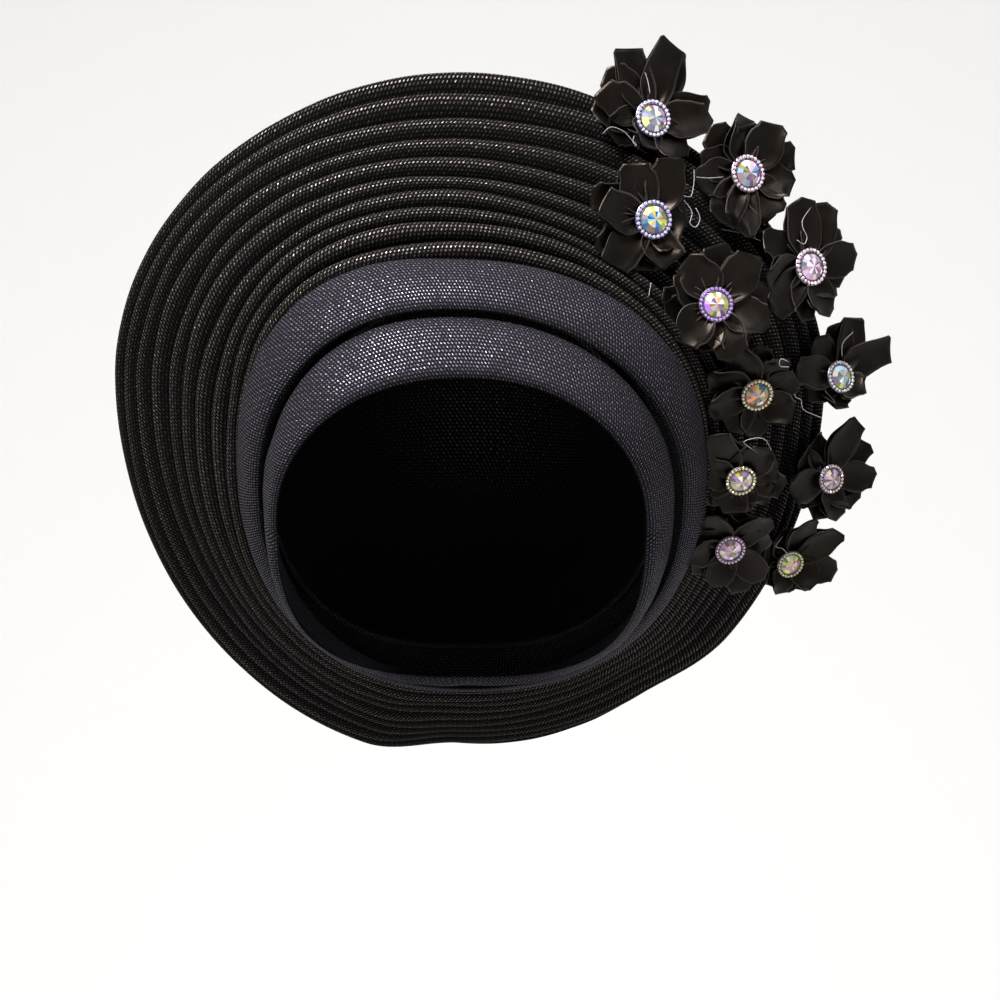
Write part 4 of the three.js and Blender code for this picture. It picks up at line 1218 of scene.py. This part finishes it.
def declare_strip(piece, node, width, length, held):
    """A closed strip of cloth, declared like any piece, with half its surface area measured. The width and
    length given are not used.
    """
    declare(piece, node)
    area = mesh_area(piece) / 2


for number, (piece, width, length) in enumerate(pleats, 1):
    declare_strip(piece, f"pleat_{number:02d}", width, length, "folded")
declare_strip(brow_band[0], "brow_band", *brow_band[1:], "stretched")
declare_strip(crown_band[0], "crown_band", *crown_band[1:], "stretched")
declare(cap, "crown_cap")
cap_area = mesh_area(cap) / 2
declare(tuck, "nape_tuck")
tuck_area = mesh_area(tuck) / 2
for number, (flower, made) in enumerate(zip(FLOWERS, flowers), 1):
    cup, gem = buttons[number - 1]
    backing = backings[number - 1]
    declare(made.piece, f"flower_{number:02d}")
    declare(backing, f"flower_{number:02d}")
    declare(cup, f"setting_{number:02d}")
    declare(gem, f"stone_{number:02d}")
    ribbon, length = flower.ribbon * MM, made.length * MM

# %% [markdown]
# ## Studio
# A round pale bowl is floor and backdrop in one, so that no edge shows from any side. A flat floor with a
# wall would show its corner. Its profile, a flat floor, a quarter round and a wall, is turned about the
# upright axis. One soft lamp above the front, on the left, lights the part. Four wide lamps are aimed at
# the bowl, and a faint pale sky fills the shadows.

# %% Studio
FLOOR = -600.0
BOWL = {"hole": 1.0, "flat": 1200.0, "curve": 2200.0, "wall": 1200.0}
BOWL_STEPS, BOWL_SIDES = 40, 96
KEY_LAMP = {"place": (-300, -750, 950), "aim": (0, 0, 60), "size": 420, "watts": 50}
BOWL_LAMP_SIZE = 1400
BOWL_WATTS = {0: 78, 90: 39, 180: 32, 270: 39}  # degrees from +Y towards +X
SKY = {"colour": "#f4f6fa", "strength": 0.12}


def make_bowl():
    """At a turn a of the quarter round, the radius is the flat plus the curve times sin a, and the
    height is the curve times 1 - cos a."""
    turn = np.linspace(0, np.pi / 2, BOWL_STEPS)
    round_part = BOWL["flat"] + BOWL["curve"] * np.sin(turn)
    radius = np.concatenate([[BOWL["hole"], BOWL["flat"] / 2], round_part, [BOWL["flat"] + BOWL["curve"]]])
    rise = BOWL["curve"] * (1 - np.cos(turn))
    height = np.concatenate([[0.0, 0.0], rise, [BOWL["curve"] + BOWL["wall"]]]) + FLOOR
    around = np.linspace(0, 2 * np.pi, BOWL_SIDES, endpoint=False)
    ways = np.stack([np.cos(around), np.sin(around), 0 * around], axis=-1)
    rings = radius[:, None, None] * ways + height[:, None, None] * np.array([0, 0, 1])
    material, _, shader = new_material("matt white studio paint")
    shader.inputs["Base Color"].default_value = linear("#b4b3b2")
    shader.inputs["Roughness"].default_value = 0.9
    uv = np.zeros((len(radius), BOWL_SIDES + 1, 2))
    return grid_piece("studio_bowl", rings, uv, [material], columns_close=True)


def add_lamp(name, place, aim, size, watts):
    """A square soft lamp in millimetres, turned to face a point."""
    lamp = bpy.data.objects.new(name, bpy.data.lights.new(name, "AREA"))
    lamp.data.size = size * MM
    lamp.data.energy = watts
    bpy.context.scene.collection.objects.link(lamp)
    way = np.array(aim, float) - np.array(place, float)
    flat = np.hypot(way[0], way[1])
    lamp.location = np.array(place) * MM
    lamp.rotation_euler = (np.arctan2(flat, -way[2]), 0, np.arctan2(way[1], way[0]) - np.pi / 2)


make_bowl()
add_lamp("key lamp", **KEY_LAMP)
for turn, watts in BOWL_WATTS.items():
    outwards = np.array([np.sin(np.radians(turn)), np.cos(np.radians(turn)), 0])
    centre = outwards * BOWL["flat"] + [0, 0, FLOOR + BOWL["curve"]]
    aim = centre + (outwards - [0, 0, 1]) * BOWL["curve"]
    add_lamp(f"bowl lamp {turn}", centre, aim, BOWL_LAMP_SIZE, watts)
sky = bpy.data.worlds.new("pale sky")
bpy.context.scene.world = sky
sky.use_nodes = True
sky.node_tree.nodes.clear()
light = {"Color": linear(SKY["colour"]), "Strength": SKY["strength"]}
light = add_node(sky.node_tree, "ShaderNodeBackground", light)
add_node(sky.node_tree, "ShaderNodeOutputWorld", {"Surface": light.outputs[0]})
print("lamps:", 1 + len(BOWL_WATTS))
